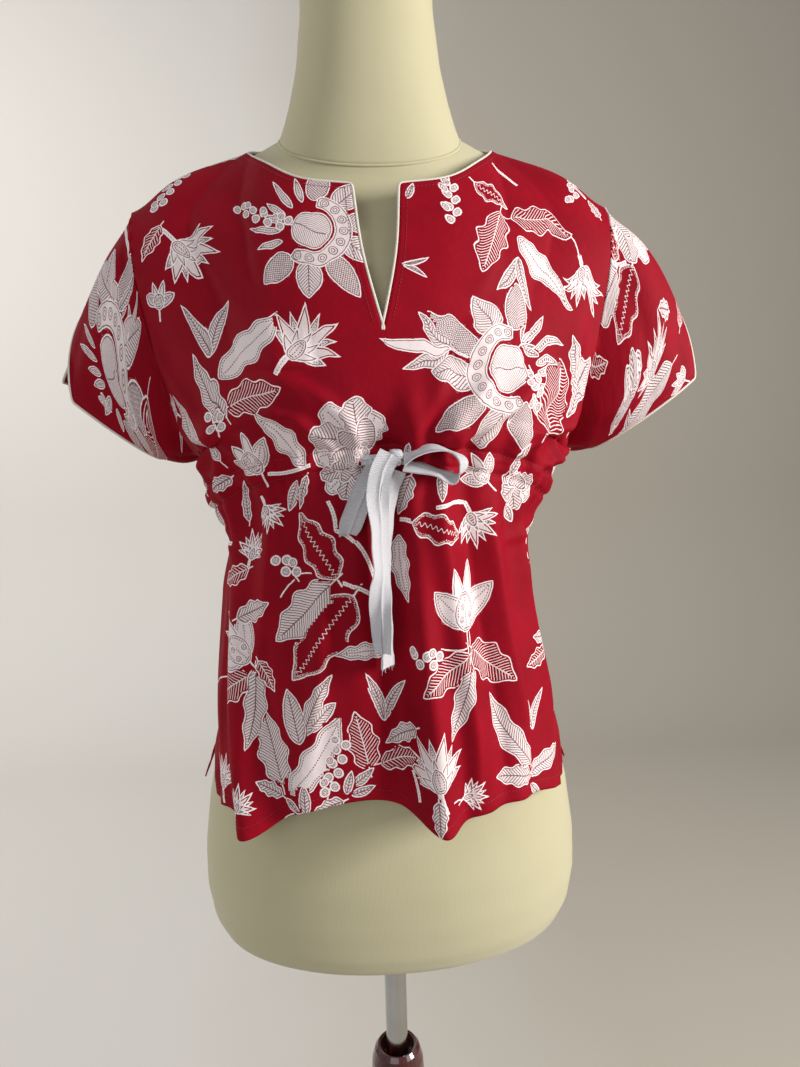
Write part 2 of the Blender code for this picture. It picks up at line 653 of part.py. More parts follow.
def main():
    clear_scene()
    collection = bpy.data.collections.new("batik_top")
    bpy.context.scene.collection.children.link(collection)
    batik = make_material("batik_cotton", (0.40, 0.006, 0.028), 0.78)
    piping = make_material("cream_piping", (0.74, 0.66, 0.52), 0.80)
    tape = make_material("white_tape", (0.80, 0.80, 0.80), 0.75)
    jersey = make_material("cream_jersey", (0.74, 0.70, 0.50), 0.85)
    chrome = make_material("chrome", (0.60, 0.60, 0.62), 0.18, metallic=1.0)
    wood = make_material("maroon_lacquer", (0.060, 0.010, 0.012), 0.25, coat=0.6)

    points, faces = loft(TORSO, 36)
    add_object("form_torso", points, faces, jersey, collection)
    tree = BVHTree.FromPolygons([Vector(p) for p in points], faces)
    neck_points, neck_faces = loft(NECK, 32)
    add_object("form_neck", neck_points, neck_faces, jersey, collection)

    make_panel("front_panel", -1, 44, True, tree, batik, collection)
    make_panel("back_panel", 1, 34, False, tree, batik, collection)
    make_sleeve("sleeve_right", -1, tree, batik, collection)
    make_sleeve("sleeve_left", 1, tree, batik, collection)
    make_piping("neck_piping", neck_route(tree), piping, collection)
    make_piping("cuff_piping_right", cuff_route(-1), piping, collection)
    make_piping("cuff_piping_left", cuff_route(1), piping, collection)

    make_knot(tape, collection)
    make_tape("tie_exit_right", EXIT_RIGHT, tape, collection, EXIT_WIDTH)
    make_tape("tie_exit_left", EXIT_LEFT, tape, collection, EXIT_WIDTH)
    make_tape("tie_loop_right", LOOP_RIGHT, tape, collection)
    make_tape("tie_loop_left", LOOP_LEFT, tape, collection)
    make_tape("tie_tail_front", TAIL_FRONT, tape, collection)
    make_tape("tie_tail_back", TAIL_BACK, tape, collection)

    pole_top = TORSO[0][0] - 0.0005
    socket = COLUMN_TOP - 0.014
    make_turned(
        "pole",
        [(0, pole_top), (POLE_RADIUS, pole_top), (POLE_RADIUS, socket + 0.0005), (0, socket + 0.0005)],
        chrome,
        collection,
        28,
    )
    make_turned(
        "stand_column",
        [
            (0, socket),
            (0.0150, socket),
            (0.0165, COLUMN_TOP),
            (0.0190, COLUMN_TOP + 0.001),
            (0.0220, COLUMN_TOP - 0.003),
            (0.0250, COLUMN_TOP - 0.014),
            (0.0270, COLUMN_TOP - 0.040),
            (0.0240, COLUMN_TOP - 0.090),
            (0.0210, 0.360),
            (0.0250, 0.120),
            (0.0320, 0.060),
            (0.0380, BASE_HEIGHT + 0.010),
            (0.0400, BASE_HEIGHT + 0.0005),
            (0, BASE_HEIGHT + 0.0005),
        ],
        wood,
        collection,
    )
    make_turned(
        "stand_base",
        [
            (0, BASE_HEIGHT),
            (0.060, BASE_HEIGHT),
            (BASE_RADIUS - 0.020, BASE_HEIGHT - 0.006),
            (BASE_RADIUS - 0.006, BASE_HEIGHT - 0.010),
            (BASE_RADIUS, BASE_HEIGHT - 0.017),
            (BASE_RADIUS, 0.003),
            (BASE_RADIUS - 0.003, 0),
            (0, 0),
        ],
        wood,
        collection,
        48,
    )


main()
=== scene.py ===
import math

import bpy
import numpy as np
from mathutils import Matrix, Vector
from mathutils.bvhtree import BVHTree


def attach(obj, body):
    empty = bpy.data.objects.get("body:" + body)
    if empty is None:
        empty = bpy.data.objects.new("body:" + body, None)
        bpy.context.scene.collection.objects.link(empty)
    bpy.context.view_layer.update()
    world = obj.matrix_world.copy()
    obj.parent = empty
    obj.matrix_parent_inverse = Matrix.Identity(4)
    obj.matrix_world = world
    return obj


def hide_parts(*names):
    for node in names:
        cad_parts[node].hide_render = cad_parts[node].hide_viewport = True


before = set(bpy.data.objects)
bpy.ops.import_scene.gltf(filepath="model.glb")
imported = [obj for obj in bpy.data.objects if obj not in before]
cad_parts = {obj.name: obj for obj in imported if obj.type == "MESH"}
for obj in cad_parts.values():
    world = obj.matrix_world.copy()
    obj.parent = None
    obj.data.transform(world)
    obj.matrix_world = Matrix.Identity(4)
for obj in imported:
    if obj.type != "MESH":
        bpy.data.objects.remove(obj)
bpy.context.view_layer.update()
scene = bpy.context.scene
print("frame loaded:", len(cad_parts), "nodes")


# Small tools for curves, meshes and node trees


def smoothLine(places, values, at):
    places = np.asarray(places, float)
    values = np.asarray(values, float)
    slopes = np.gradient(values, places, axis=0)
    at = np.clip(at, places[0], places[-1])
    low = np.clip(np.searchsorted(places, at, side="right") - 1, 0, len(places) - 2)
    span = places[low + 1] - places[low]
    t = (at - places[low]) / span
    if values.ndim > 1:
        t = t[..., None]
        span = span[..., None]
    start = (2 * t**3 - 3 * t**2 + 1) * values[low] + (t**3 - 2 * t**2 + t) * span * slopes[low]
    return start + (3 * t**2 - 2 * t**3) * values[low + 1] + (t**3 - t**2) * span * slopes[low + 1]


def runAlong(points, axis=0):
    # Distance run along one axis of a line or grid of points
    step = np.linalg.norm(np.diff(points, axis=axis), axis=-1)
    start = np.zeros_like(np.take(step, [0], axis=axis))
    return np.concatenate([start, np.cumsum(step, axis=axis)], axis=axis)


def alongLine(points, share):
    points = np.asarray(points, float)
    run = runAlong(points)
    return smoothLine(run / run[-1], points, share)


def bell(x):
    return np.exp(-(x**2))


def rounded(value, power):
    return np.sign(value) * np.abs(value) ** power


def easeIn(x):
    x = np.clip(x, 0, 1)
    return x * x * (3 - 2 * x)


def unit(vectors):
    return vectors / np.maximum(np.linalg.norm(vectors, axis=-1, keepdims=True), 1e-12)


def addPiece(name, points, faces, material):
    mesh = bpy.data.meshes.new(name)
    mesh.from_pydata(np.asarray(points).tolist(), [], faces)
    mesh.shade_smooth()
    mesh.materials.append(material)
    return linkPiece(name, mesh)


def linkPiece(name, mesh):
    piece = bpy.data.objects.new(name, mesh)
    scene.collection.objects.link(piece)
    return piece


def rideRoot(piece, node=None):
    # Every piece stands on the part's one body; node is the CAD node that it replaces
    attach(piece, "root")
    if node:
        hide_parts(node)


def gridFaces(rows, columns):
    # Quads between closed rings
    faces = []
    for i in range(rows - 1):
        for j in range(columns):
            k = (j + 1) % columns
            faces.append((i * columns + j, i * columns + k, (i + 1) * columns + k, (i + 1) * columns + j))
    return faces


def loftFaces(rows, columns):
    caps = [tuple(range(columns))[::-1], tuple((rows - 1) * columns + j for j in range(columns))]
    return gridFaces(rows, columns) + caps


# Camera at the photo's viewing angle

cameraSetup = {"place": (-0.030, -0.690, 1.254), "yaw": 3.8, "pitch": 10.0, "roll": 1.5, "lens": 27.02}


def makeCamera(setup):
    yaw, pitch, roll = (math.radians(setup[key]) for key in ("yaw", "pitch", "roll"))
    forward = Vector((math.sin(yaw) * math.cos(pitch), math.cos(yaw) * math.cos(pitch), -math.sin(pitch)))
    level = Vector((math.cos(yaw), -math.sin(yaw), 0))
    upright = level.cross(forward)
    right = level * math.cos(roll) - upright * math.sin(roll)
    up = level * math.sin(roll) + upright * math.cos(roll)
    data = bpy.data.cameras.new("photoCamera")
    data.sensor_fit = "VERTICAL"
    data.sensor_height = 36
    data.lens = setup["lens"]
    data.clip_start = 0.01
    camera = bpy.data.objects.new("photoCamera", data)
    turned = Matrix((right, up, -forward)).transposed().to_4x4()
    camera.matrix_world = Matrix.Translation(setup["place"]) @ turned
    scene.collection.objects.link(camera)
    scene.camera = camera


makeCamera(cameraSetup)
print("camera made")


# Materials


def plug(value, socket):
    # Numbers and colours are set on the socket, and outputs are linked to it
    value = getattr(value, "socket", value)
    if isinstance(value, bpy.types.NodeSocket):
        socket.id_data.links.new(value, socket)
    elif isinstance(value, tuple) and len(value) < len(socket.default_value):
        socket.default_value = (*value, 1.0)
    elif value is not None:
        socket.default_value = value


def addNode(tree, kind, inputs=None, **settings):
    node = tree.nodes.new(kind)
    for key, value in settings.items():
        setattr(node, key, value)
    for key, value in (inputs or {}).items():
        plug(value, node.inputs[key])
    return node


def feed(node, **values):
    for key, value in values.items():
        plug(value, node.inputs[key.replace("_", " ")])


def mathNode(tree, operation, *values, clamp=False):
    node = addNode(tree, "ShaderNodeMath", dict(enumerate(values)), operation=operation, use_clamp=clamp)
    return Value(node.outputs[0])


class Value:
    # An output in a node tree. The usual signs add a maths node to it, & is for both masks and | for either
    def __init__(self, socket):
        self.socket = socket

    def maths(self, operation, *others, clamp=False):
        return mathNode(self.socket.id_data, operation, self, *others, clamp=clamp)

    def fit(self, times, plus, clamp=False):
        return self.maths("MULTIPLY_ADD", times, plus, clamp=clamp)

    def __add__(self, other):
        return self.maths("ADD", other)

    def __sub__(self, other):
        return self.maths("SUBTRACT", other)

    def __rsub__(self, other):
        return mathNode(self.socket.id_data, "SUBTRACT", other, self)

    def __mul__(self, other):
        return self.maths("MULTIPLY", other)

    def __truediv__(self, other):
        return self.maths("DIVIDE", other)

    def __gt__(self, other):
        return self.maths("GREATER_THAN", other)

    def __lt__(self, other):
        return self.maths("LESS_THAN", other)

    def __and__(self, other):
        return self.maths("MULTIPLY", other)

    def __or__(self, other):
        return self.maths("MAXIMUM", other)

    def __abs__(self):
        return self.maths("ABSOLUTE")


def newMaterial(name, roughness, **fixed):
    material = bpy.data.materials.new(name)
    material.use_nodes = True
    shader = material.node_tree.nodes["Principled BSDF"]
    feed(shader, Roughness=roughness, **fixed)
    return material, material.node_tree, shader


def mixColour(tree, factor, first, second):
    return addNode(tree, "ShaderNodeMix", {0: factor, 6: first, 7: second}, data_type="RGBA").outputs[2]


def mixVector(tree, factor, first, second):
    return addNode(tree, "ShaderNodeMix", {0: factor, 4: first, 5: second}, data_type="VECTOR").outputs[1]


def noise(tree, vector, scale, detail=2.0, roughness=0.5, output="Fac"):
    inputs = {"Vector": vector, "Scale": scale, "Detail": detail, "Roughness": roughness}
    return Value(addNode(tree, "ShaderNodeTexNoise", inputs).outputs[output])


def objectPlace(tree):
    return tree.nodes.new("ShaderNodeTexCoord").outputs["Object"]


def uvPlace(tree, name):
    return addNode(tree, "ShaderNodeUVMap", uv_map=name).outputs["UV"]


def splitVector(tree, vector):
    return [Value(socket) for socket in addNode(tree, "ShaderNodeSeparateXYZ", {0: vector}).outputs]


def bump(tree, height, strength, distance, normal=None):
    inputs = {"Strength": strength, "Distance": distance, "Height": height, "Normal": normal}
    return addNode(tree, "ShaderNodeBump", inputs).outputs["Normal"]


def newGroup(name, inputs, outputs):
    # Inputs by label, with a number's default or None for a vector. All outputs are numbers
    group = bpy.data.node_groups.new(name, "ShaderNodeTree")
    for label, value in inputs.items():
        kind = "NodeSocketVector" if value is None else "NodeSocketFloat"
        socket = group.interface.new_socket(name=label, in_out="INPUT", socket_type=kind)
        if value is not None:
            socket.default_value = value
    for label in outputs:
        group.interface.new_socket(name=label, in_out="OUTPUT", socket_type="NodeSocketFloat")
    given = addNode(group, "NodeGroupInput").outputs
    return group, {label: Value(given[label]) for label in inputs}, addNode(group, "NodeGroupOutput")


def useGroup(tree, group, **values):
    node = addNode(tree, "ShaderNodeGroup", node_tree=group)
    feed(node, **values)
    return {socket.name: Value(socket) for socket in node.outputs}


def makeWeaveGroup():
    # Plain weave: warp and weft threads crossing, read from flat cloth coordinates in metres
    group, given, out = newGroup("plainWeave", {"Place": None, "Pitch": 0.0006}, ("Height", "Slub"))
    x, y, _ = splitVector(group, given["Place"])
    warp, weft = (abs((value / given["Pitch"] * math.pi).maths("SINE")) for value in (x, y))
    feed(out, Height=warp | weft, Slub=noise(group, given["Place"], 900))
    return group


weaveGroup = makeWeaveGroup()


# Shape of the top, the same tables as the part's source

cloth = {
    "thickness": 0.0012,
    "formClearance": 0.0030,
    "slitEnd": 0.24,
    "underarm": 0.37,
    "casing": 0.44,
    "ventTop": 0.855,
    "length": 0.50,
    "halfWidth": 0.19,
}
neckShare = 0.46
skirtShift = 0.005
shoulderTip = (0.186, 0.0, 1.411)

# share of length, half the slit's opening, depth, height
frontCentre = (
    (0.00, 0.0205, -0.070, 1.405),
    (0.12, 0.0138, -0.097, 1.352),
    (0.21, 0.0038, -0.113, 1.311),
    (0.24, 0.0000, -0.118, 1.297),
    (0.37, 0.0000, -0.129, 1.245),
    (0.44, 0.0000, -0.118, 1.210),
    (0.50, 0.0000, -0.120, 1.180),
    (0.62, 0.0000, -0.125, 1.122),
    (0.80, 0.0000, -0.131, 1.035),
    (1.00, 0.0000, -0.134, 0.956),
)
backCentre = (
    (0.00, 0.0, 0.066, 1.463),
    (0.10, 0.0, 0.090, 1.425),
    (0.24, 0.0, 0.114, 1.345),
    (0.37, 0.0, 0.112, 1.270),
    (0.44, 0.0, 0.104, 1.228),
    (0.50, 0.0, 0.107, 1.198),
    (0.62, 0.0, 0.117, 1.135),
    (0.80, 0.0, 0.135, 1.035),
    (1.00, 0.0, 0.150, 0.916),
)
# share of length, half width, depth, height
frontSide = (
    (0.37, 0.1460, 0.000, 1.205),
    (0.44, 0.1380, 0.000, 1.170),
    (0.50, 0.1220, 0.000, 1.145),
    (0.62, 0.1280, 0.000, 1.092),
    (0.855, 0.1450, 0.000, 0.980),
    (1.00, 0.1430, -0.046, 0.922),
)
backSide = frontSide[:-1] + ((1.00, 0.1730, 0.030, 0.900),)
frontNeck = ((0.0175, -0.070, 1.405), (0.055, -0.062, 1.411), (0.083, -0.037, 1.429), (0.099, 0.0, 1.445))
backNeck = ((0.0, 0.066, 1.463), (0.045, 0.060, 1.462), (0.082, 0.036, 1.456), (0.099, 0.0, 1.445))

# share from armhole to cuff, top x and z, low x and z, half depth, outward bulge
rightSleeve = (
    (0.00, 0.186, 1.411, 0.146, 1.205, 0.045, 0.012),
    (0.50, 0.221, 1.346, 0.162, 1.200, 0.046, 0.006),
    (1.00, 0.264, 1.270, 0.182, 1.204, 0.040, -0.002),
)
leftSleeve = (
    (0.00, 0.186, 1.411, 0.146, 1.205, 0.045, 0.012),
    (0.50, 0.234, 1.350, 0.163, 1.200, 0.048, 0.008),
    (1.00, 0.276, 1.269, 0.180, 1.202, 0.041, 0.000),
)
sleeveSlit = {"start": 0.60, "front": {-1: 1.05, 1: 0.75}, "back": 0.12, "length": 0.105, "radius": 0.06}

# place at casing and at hem, rise and half width at casing, the same at the hem, drop of the hem
frontFolds = (
    (-0.84, -0.82, 0.0030, 0.012, 0.003, 0.018, 0.000),
    (-0.64, -0.52, 0.0040, 0.011, 0.022, 0.020, 0.022),
    (-0.46, -0.30, 0.0045, 0.011, 0.008, 0.022, 0.004),
    (-0.28, -0.16, 0.0040, 0.011, 0.002, 0.018, 0.000),
    (-0.11, -0.05, 0.0035, 0.010, 0.001, 0.016, 0.000),
    (0.08, 0.125, 0.0050, 0.010, 0.028, 0.016, 0.022),
    (0.25, 0.28, 0.0040, 0.010, 0.013, 0.016, 0.009),
    (0.43, 0.43, 0.0045, 0.011, 0.010, 0.018, 0.004),
    (0.62, 0.66, 0.0035, 0.011, 0.004, 0.020, 0.000),
    (0.84, 0.84, 0.0025, 0.012, 0.002, 0.018, 0.000),
)
backFolds = (
    (-0.80, -0.82, 0.0040, 0.012, 0.008, 0.022, 0.002),
    (-0.56, -0.54, 0.0045, 0.012, 0.018, 0.024, 0.005),
    (-0.32, -0.26, 0.0040, 0.012, 0.012, 0.024, 0.003),
    (-0.10, -0.02, 0.0045, 0.012, 0.006, 0.020, 0.000),
    (0.14, 0.24, 0.0045, 0.012, 0.016, 0.024, 0.004),
    (0.38, 0.46, 0.0040, 0.012, 0.010, 0.022, 0.002),
    (0.60, 0.66, 0.0045, 0.012, 0.015, 0.024, 0.004),
    (0.82, 0.84, 0.0040, 0.012, 0.006, 0.020, 0.002),
)


def softShoulder(points):
    # The worn cloth rounds off where the shoulder seam meets the armhole
    near = bell((np.abs(points[..., 0]) - 0.190) / 0.024) * easeIn((points[..., 2] - 1.335) / 0.07)
    points[..., 2] -= 0.010 * near
    points[..., 0] -= np.sign(points[..., 0]) * 0.003 * near
    return points


def sleevePoint(share, turn, side=-1):
    table = np.array(rightSleeve if side < 0 else leftSleeve)
    row = smoothLine(table[:, 0], table[:, 1:], share)
    topX, topZ, lowX, lowZ, depth, bulge = np.moveaxis(row, -1, 0)
    across = rounded(np.sin(turn), 0.68)
    x = (topX + lowX) / 2 + np.cos(turn) * (topX - lowX) / 2 + bulge * np.abs(across)
    z = (topZ + lowZ) / 2 + np.cos(turn) * (topZ - lowZ) / 2
    return np.stack([x, -depth * across, z], axis=-1)


def centreLine(table, share):
    table = np.array(table)
    return smoothLine(table[:, 0], table[:, 1:], share)


def sideLine(table, share, facing):
    table = np.array(table)
    below = smoothLine(table[:, 0], table[:, 1:], share)
    below[..., 1] *= share > cloth["ventTop"]
    turn = math.pi * np.clip(share / cloth["underarm"], 0, 1)
    above = sleevePoint(np.zeros_like(share), turn * -facing)
    return np.where((share < cloth["underarm"])[..., None], above, below)


def topLine(neck, share):
    onNeck = alongLine(neck, np.clip(share / neckShare, 0, 1))
    seam = np.array([neck[-1], (0.142, 0.0, 1.4315), shoulderTip])
    onSeam = alongLine(seam, np.clip((share - neckShare) / (1 - neckShare), 0, 1))
    return np.where((share < neckShare)[..., None], onNeck, onSeam)


def bowed(centre, side, turn):
    # From the centre line round to the side line
    return np.stack([
        centre[..., 0] + (side[..., 0] - centre[..., 0]) * np.sin(turn) ** 0.94,
        side[..., 1] + (centre[..., 1] - side[..., 1]) * np.cos(turn) ** 0.80,
        side[..., 2] + (centre[..., 2] - side[..., 2]) * np.cos(turn) ** 1.3,
    ], axis=-1)


def panelForm(facing, across, down):
    # across runs from -1 to 1, down from 0 at the neck to 1 at the hem, facing is -1 for the front
    centreTable, sideTable, neckLine = (
        (frontCentre, frontSide, frontNeck) if facing < 0 else (backCentre, backSide, backNeck)
    )
    centre = centreLine(centreTable, down)
    centre[..., 0] = np.maximum(centre[..., 0], 0)
    u = np.abs(across)
    turn = u * math.pi / 2
    points = bowed(centre, sideLine(sideTable, down, facing), turn)
    first = bowed(centreLine(centreTable, np.zeros_like(u)), np.array(shoulderTip), turn)
    fade = np.clip(1 - down / cloth["underarm"], 0, 1)[..., None] ** 1.3
    points = points + (topLine(neckLine, u) - first) * fade
    points[..., 0] *= np.where(across < 0, -1, 1)
    points[..., 0] -= skirtShift * bell((down - 0.66) / 0.17)
    points[..., 1] += facing * creases["seamGap"]
    return softShoulder(points)


def foldRise(facing, across, down):
    table = frontFolds if facing < 0 else backFolds
    casing = cloth["casing"]
    low = np.clip((down - casing) / (1 - casing), 0, 1)
    high = np.clip((casing - down) / 0.13, 0, 1)
    half = 0.185 + 0.05 * low
    rise = np.zeros_like(down)
    drop = np.zeros_like(down)
    for at, to, riseAt, wideAt, riseTo, wideTo, dropTo in table:
        place = at + (to - at) * low**0.8 - 0.25 * at * high
        wide = (wideAt + (wideTo - wideAt) * low + 0.006 * high) / half
        lift = riseAt + (riseTo - riseAt) * low**1.15
        rise += lift * (1 - high) ** 1.2 * bell((across - place) / wide)
        drop += dropTo * low**2 * bell((across - place) / (1.5 * wide))
    edge = easeIn((1 - np.abs(across)) / 0.24)
    return rise * edge, drop * edge


# Fine creases of the worn cloth, on top of the folds above
creases = {
    "seamGap": 0.00015,
    "gathers": 30,
    "gatherRise": 0.0054,
    "gatherWidth": 0.0044,
    "casingHalf": 0.0075,
    "casingPinch": 0.0021,
    "hemBand": 0.010,
    "seed": 11,
}
# wearer's right side at -1: across and down of one end, of the other end, rise, half width in metres
frontCreases = (
    (0.93, 0.270, 0.40, 0.405, 0.0052, 0.0075),
    (0.96, 0.330, 0.62, 0.425, 0.0046, 0.0065),
    (0.80, 0.215, 0.46, 0.350, 0.0034, 0.0095),
    (0.99, 0.180, 0.72, 0.330, 0.0028, 0.0085),
    (-0.93, 0.290, -0.42, 0.400, 0.0044, 0.0085),
    (-0.97, 0.200, -0.60, 0.360, 0.0032, 0.0090),
    (-0.50, 0.235, -0.16, 0.395, 0.0030, 0.0100),
    (-0.30, 0.300, -0.06, 0.418, 0.0044, 0.0070),
    (0.16, 0.300, 0.06, 0.420, 0.0044, 0.0070),
    (0.34, 0.285, 0.20, 0.420, 0.0040, 0.0075),
    (0.52, 0.300, 0.14, 0.428, 0.0064, 0.0080),
    (0.30, 0.320, 0.09, 0.428, 0.0060, 0.0062),
    (0.76, 0.320, 0.40, 0.428, 0.0058, 0.0070),
    (0.90, 0.355, 0.60, 0.428, 0.0050, 0.0060),
    (-0.74, 0.330, -0.45, 0.428, 0.0048, 0.0070),
    (-0.92, 0.370, -0.66, 0.428, 0.0044, 0.0060),
    (-0.36, 0.350, -0.14, 0.428, 0.0042, 0.0060),
    (0.95, 0.480, 0.50, 0.560, 0.0026, 0.0080),
    (-0.95, 0.470, -0.60, 0.570, 0.0026, 0.0080),
    (0.17, 0.460, 0.24, 0.980, 0.0068, 0.0095),
    (0.03, 0.450, 0.01, 0.960, -0.0085, 0.0135),
    (0.38, 0.460, 0.48, 0.920, 0.0050, 0.0085),
    (0.60, 0.460, 0.74, 0.900, 0.0044, 0.0090),
    (0.28, 0.470, 0.36, 0.940, -0.0034, 0.0080),
    (-0.18, 0.460, -0.26, 0.900, 0.0050, 0.0100),
    (-0.42, 0.460, -0.52, 0.920, 0.0036, 0.0100),
    (-0.66, 0.460, -0.78, 0.880, 0.0030, 0.0100),
    (0.30, 0.090, 0.24, 0.210, 0.0012, 0.0100),
    (-0.34, 0.080, -0.30, 0.200, 0.0010, 0.0110),
)
backCreases = (
    (0.92, 0.290, 0.46, 0.400, 0.0028, 0.0085),
    (-0.94, 0.300, -0.44, 0.405, 0.0026, 0.0080),
    (0.70, 0.140, 0.30, 0.330, 0.0016, 0.0110),
    (-0.72, 0.160, -0.26, 0.320, 0.0018, 0.0100),
    (0.95, 0.480, 0.56, 0.570, 0.0018, 0.0080),
    (-0.95, 0.475, -0.50, 0.560, 0.0016, 0.0085),
    (0.10, 0.460, 0.16, 0.950, 0.0036, 0.0100),
    (-0.20, 0.460, -0.27, 0.920, 0.0036, 0.0100),
    (0.44, 0.460, 0.56, 0.900, 0.0032, 0.0100),
    (-0.50, 0.460, -0.62, 0.900, 0.0032, 0.0100),
)


def alongCrease(x, y, run):
    # Share of the way along a crease, and the distance to its side
    size = np.linalg.norm(run)
    run = run / size
    return (x * run[0] + y * run[1]) / size, y * run[0] - x * run[1]


def creaseRise(facing, across, down):
    chance = np.random.default_rng(creases["seed"] + facing)
    casing, length, wideHalf = cloth["casing"], cloth["length"], cloth["halfWidth"]
    gap = (down - casing) * length
    halfWidth = np.where(down < casing, 0.185, 0.175)
    rise = np.zeros_like(down)
    count = creases["gathers"]
    spots = np.linspace(-0.94, 0.94, count) + chance.uniform(-0.022, 0.022, count)
    for spot in spots:
        up = chance.uniform(0.022, 0.062)
        fall = chance.uniform(0.032, 0.135)
        lift = creases["gatherRise"] * chance.uniform(0.45, 1.15)
        wide = creases["gatherWidth"] * chance.uniform(0.7, 1.35)
        lean = chance.uniform(-0.25, 0.25) - 0.55 * spot * (gap < 0)
        place = spot + lean * np.abs(gap) + 0.0006 * np.sin(gap * 150 + spot * 40) / halfWidth
        spread = wide * (1 + np.abs(gap) / 0.05) / halfWidth
        fade = np.where(gap < 0, bell(gap / up), bell(gap / fall))
        rise += lift * fade * bell((across - place) / spread)
    for fromAcross, fromDown, toAcross, toDown, lift, wide in frontCreases if facing < 0 else backCreases:
        run = np.array([(toAcross - fromAcross) * wideHalf, (toDown - fromDown) * length])
        share, aside = alongCrease((across - fromAcross) * wideHalf, (down - fromDown) * length, run)
        aside = aside + 0.004 * np.sin(share * 3.0)
        fade = easeIn((share + 0.18) / 0.36) * easeIn((1.15 - share) / 0.4)
        spread = wide * (1.25 - 0.5 * np.clip(share, 0, 1))
        rise += lift * fade * np.where(aside > 0, bell(aside / spread), bell(aside / (spread * 0.6)))
    edge = easeIn((1 - np.abs(across)) / 0.05) * easeIn(down / 0.02 + 0.15)
    return rise * edge


def casingRise(gap):
    # Two rows of stitching pinch the cloth, and the tape inside fills the channel between them
    half = creases["casingHalf"]
    pinch = bell((np.abs(gap) - half) / 0.0022)
    channel = easeIn((half - np.abs(gap)) / 0.003 + 0.2)
    return 0.0012 * channel - creases["casingPinch"] * pinch


def clearForm(points, tree, distance):
    moved = points.reshape(-1, 3).copy()
    for i, point in enumerate(moved):
        near, normal, _, _ = tree.find_nearest(Vector(point))
        if (Vector(point) - near).dot(normal) < distance:
            moved[i] = np.array(near) + np.array(normal) * distance
    return moved.reshape(points.shape)


def gridNormals(points, facing):
    beside = np.gradient(points, axis=1)
    below = np.gradient(points, axis=0)
    return unit(np.cross(beside, below)) * facing


def halves(columns):
    # The centre column is there twice, so that the front can open at its slit
    return slice(0, columns // 2 + 1), slice(columns // 2 + 1, None)


def panelNormals(points, facing, columns):
    return np.concatenate([gridNormals(points[:, part], facing) for part in halves(columns)], axis=1)


def panelGrid(facing, columns, rows, tree):
    side = np.linspace(0, 1, columns // 2 + 1)
    side[0] = 1e-9
    acrossGrid, downGrid = np.meshgrid(np.concatenate([-side[::-1], side]), np.linspace(0, 1, rows + 1))
    points = panelForm(facing, acrossGrid, downGrid)
    normals = panelNormals(points, facing, columns)
    rise, drop = foldRise(facing, acrossGrid, downGrid)
    gap = (downGrid - cloth["casing"]) * cloth["length"]
    toSide = easeIn((1 - np.abs(acrossGrid)) / 0.05)
    rise = rise + (creaseRise(facing, acrossGrid, downGrid) + casingRise(gap)) * toSide
    hem = (1 - downGrid) * cloth["length"]
    rise = rise + 0.0005 * easeIn((creases["hemBand"] - hem) / 0.0015)
    points = points + normals * rise[..., None]
    points[..., 2] -= drop
    return clearForm(points, tree, cloth["thickness"] + cloth["formClearance"])


def flatPlaces(points, casingRow, half):
    # Cloth coordinates: across along each row from the centre, down along each column from the casing
    flatX = runAlong(points[..., :2], 1)
    flatX -= flatX[:, half:half + 1]
    flatY = runAlong(points[..., 1:])
    flatY -= flatY[casingRow]
    level = points[casingRow, half, 2] - points[casingRow, :, 2]
    return np.stack([flatX, -(flatY + level * 0.85)], axis=-1)


def clothShell(name, points, faces, flat, setup, material):
    # Outer sheet, its inner copy and a rim along the open edges. Flat cloth places go into each corner
    used, index = np.unique(faces, return_inverse=True)
    points, faces = points.reshape(-1, 3)[used], index.reshape(faces.shape)
    probe = bpy.data.meshes.new("probe")
    probe.from_pydata(points.tolist(), [], faces.tolist())
    normals = np.zeros(len(points) * 3, np.float32)
    probe.vertices.foreach_get("normal", normals)
    bpy.data.meshes.remove(probe)
    inner = points - normals.reshape(-1, 3) * cloth["thickness"]
    count = len(points)
    edges = np.concatenate([faces[:, [k, (k + 1) % 4]] for k in range(4)])
    _, index, times = np.unique(np.sort(edges, axis=1), axis=0, return_inverse=True, return_counts=True)
    rim = edges[times[index.reshape(-1)] == 1]
    rimFaces = np.stack([rim[:, 1], rim[:, 0], rim[:, 0] + count, rim[:, 1] + count], axis=1)
    allFaces = np.concatenate([faces, faces[:, ::-1] + count, rimFaces])
    piece = addPiece(name, np.concatenate([points, inner]), allFaces.tolist(), material)
    pointFlat = np.zeros((count, 2))
    pointFlat[faces.reshape(-1)] = flat.reshape(-1, 2)
    corners = np.concatenate([flat, flat[:, ::-1], np.concatenate([pointFlat, pointFlat])[rimFaces]])
    uv = piece.data.uv_layers.new(name="flatCloth")
    uv.data.foreach_set("uv", corners.astype(np.float32).reshape(-1))
    layPrint(piece.data, corners, setup["shapes"])
    a, b, c, d = (points[faces[:, k]] for k in range(4))
    area = float((np.linalg.norm(np.cross(c - a, d - b), axis=1) / 2).sum())
    print(name, "made,", len(allFaces), "faces, cloth area", round(area, 4), "m2")
    return piece, area


def quadPlaces(rows, columns, wide):
    # Corners of each quad in a grid of points that is wide columns across
    i, j = (grid.reshape(-1) for grid in np.meshgrid(np.arange(rows), columns, indexing="ij"))
    return np.stack([i * wide + j, i * wide + j + 1, (i + 1) * wide + j + 1, (i + 1) * wide + j], axis=1), j


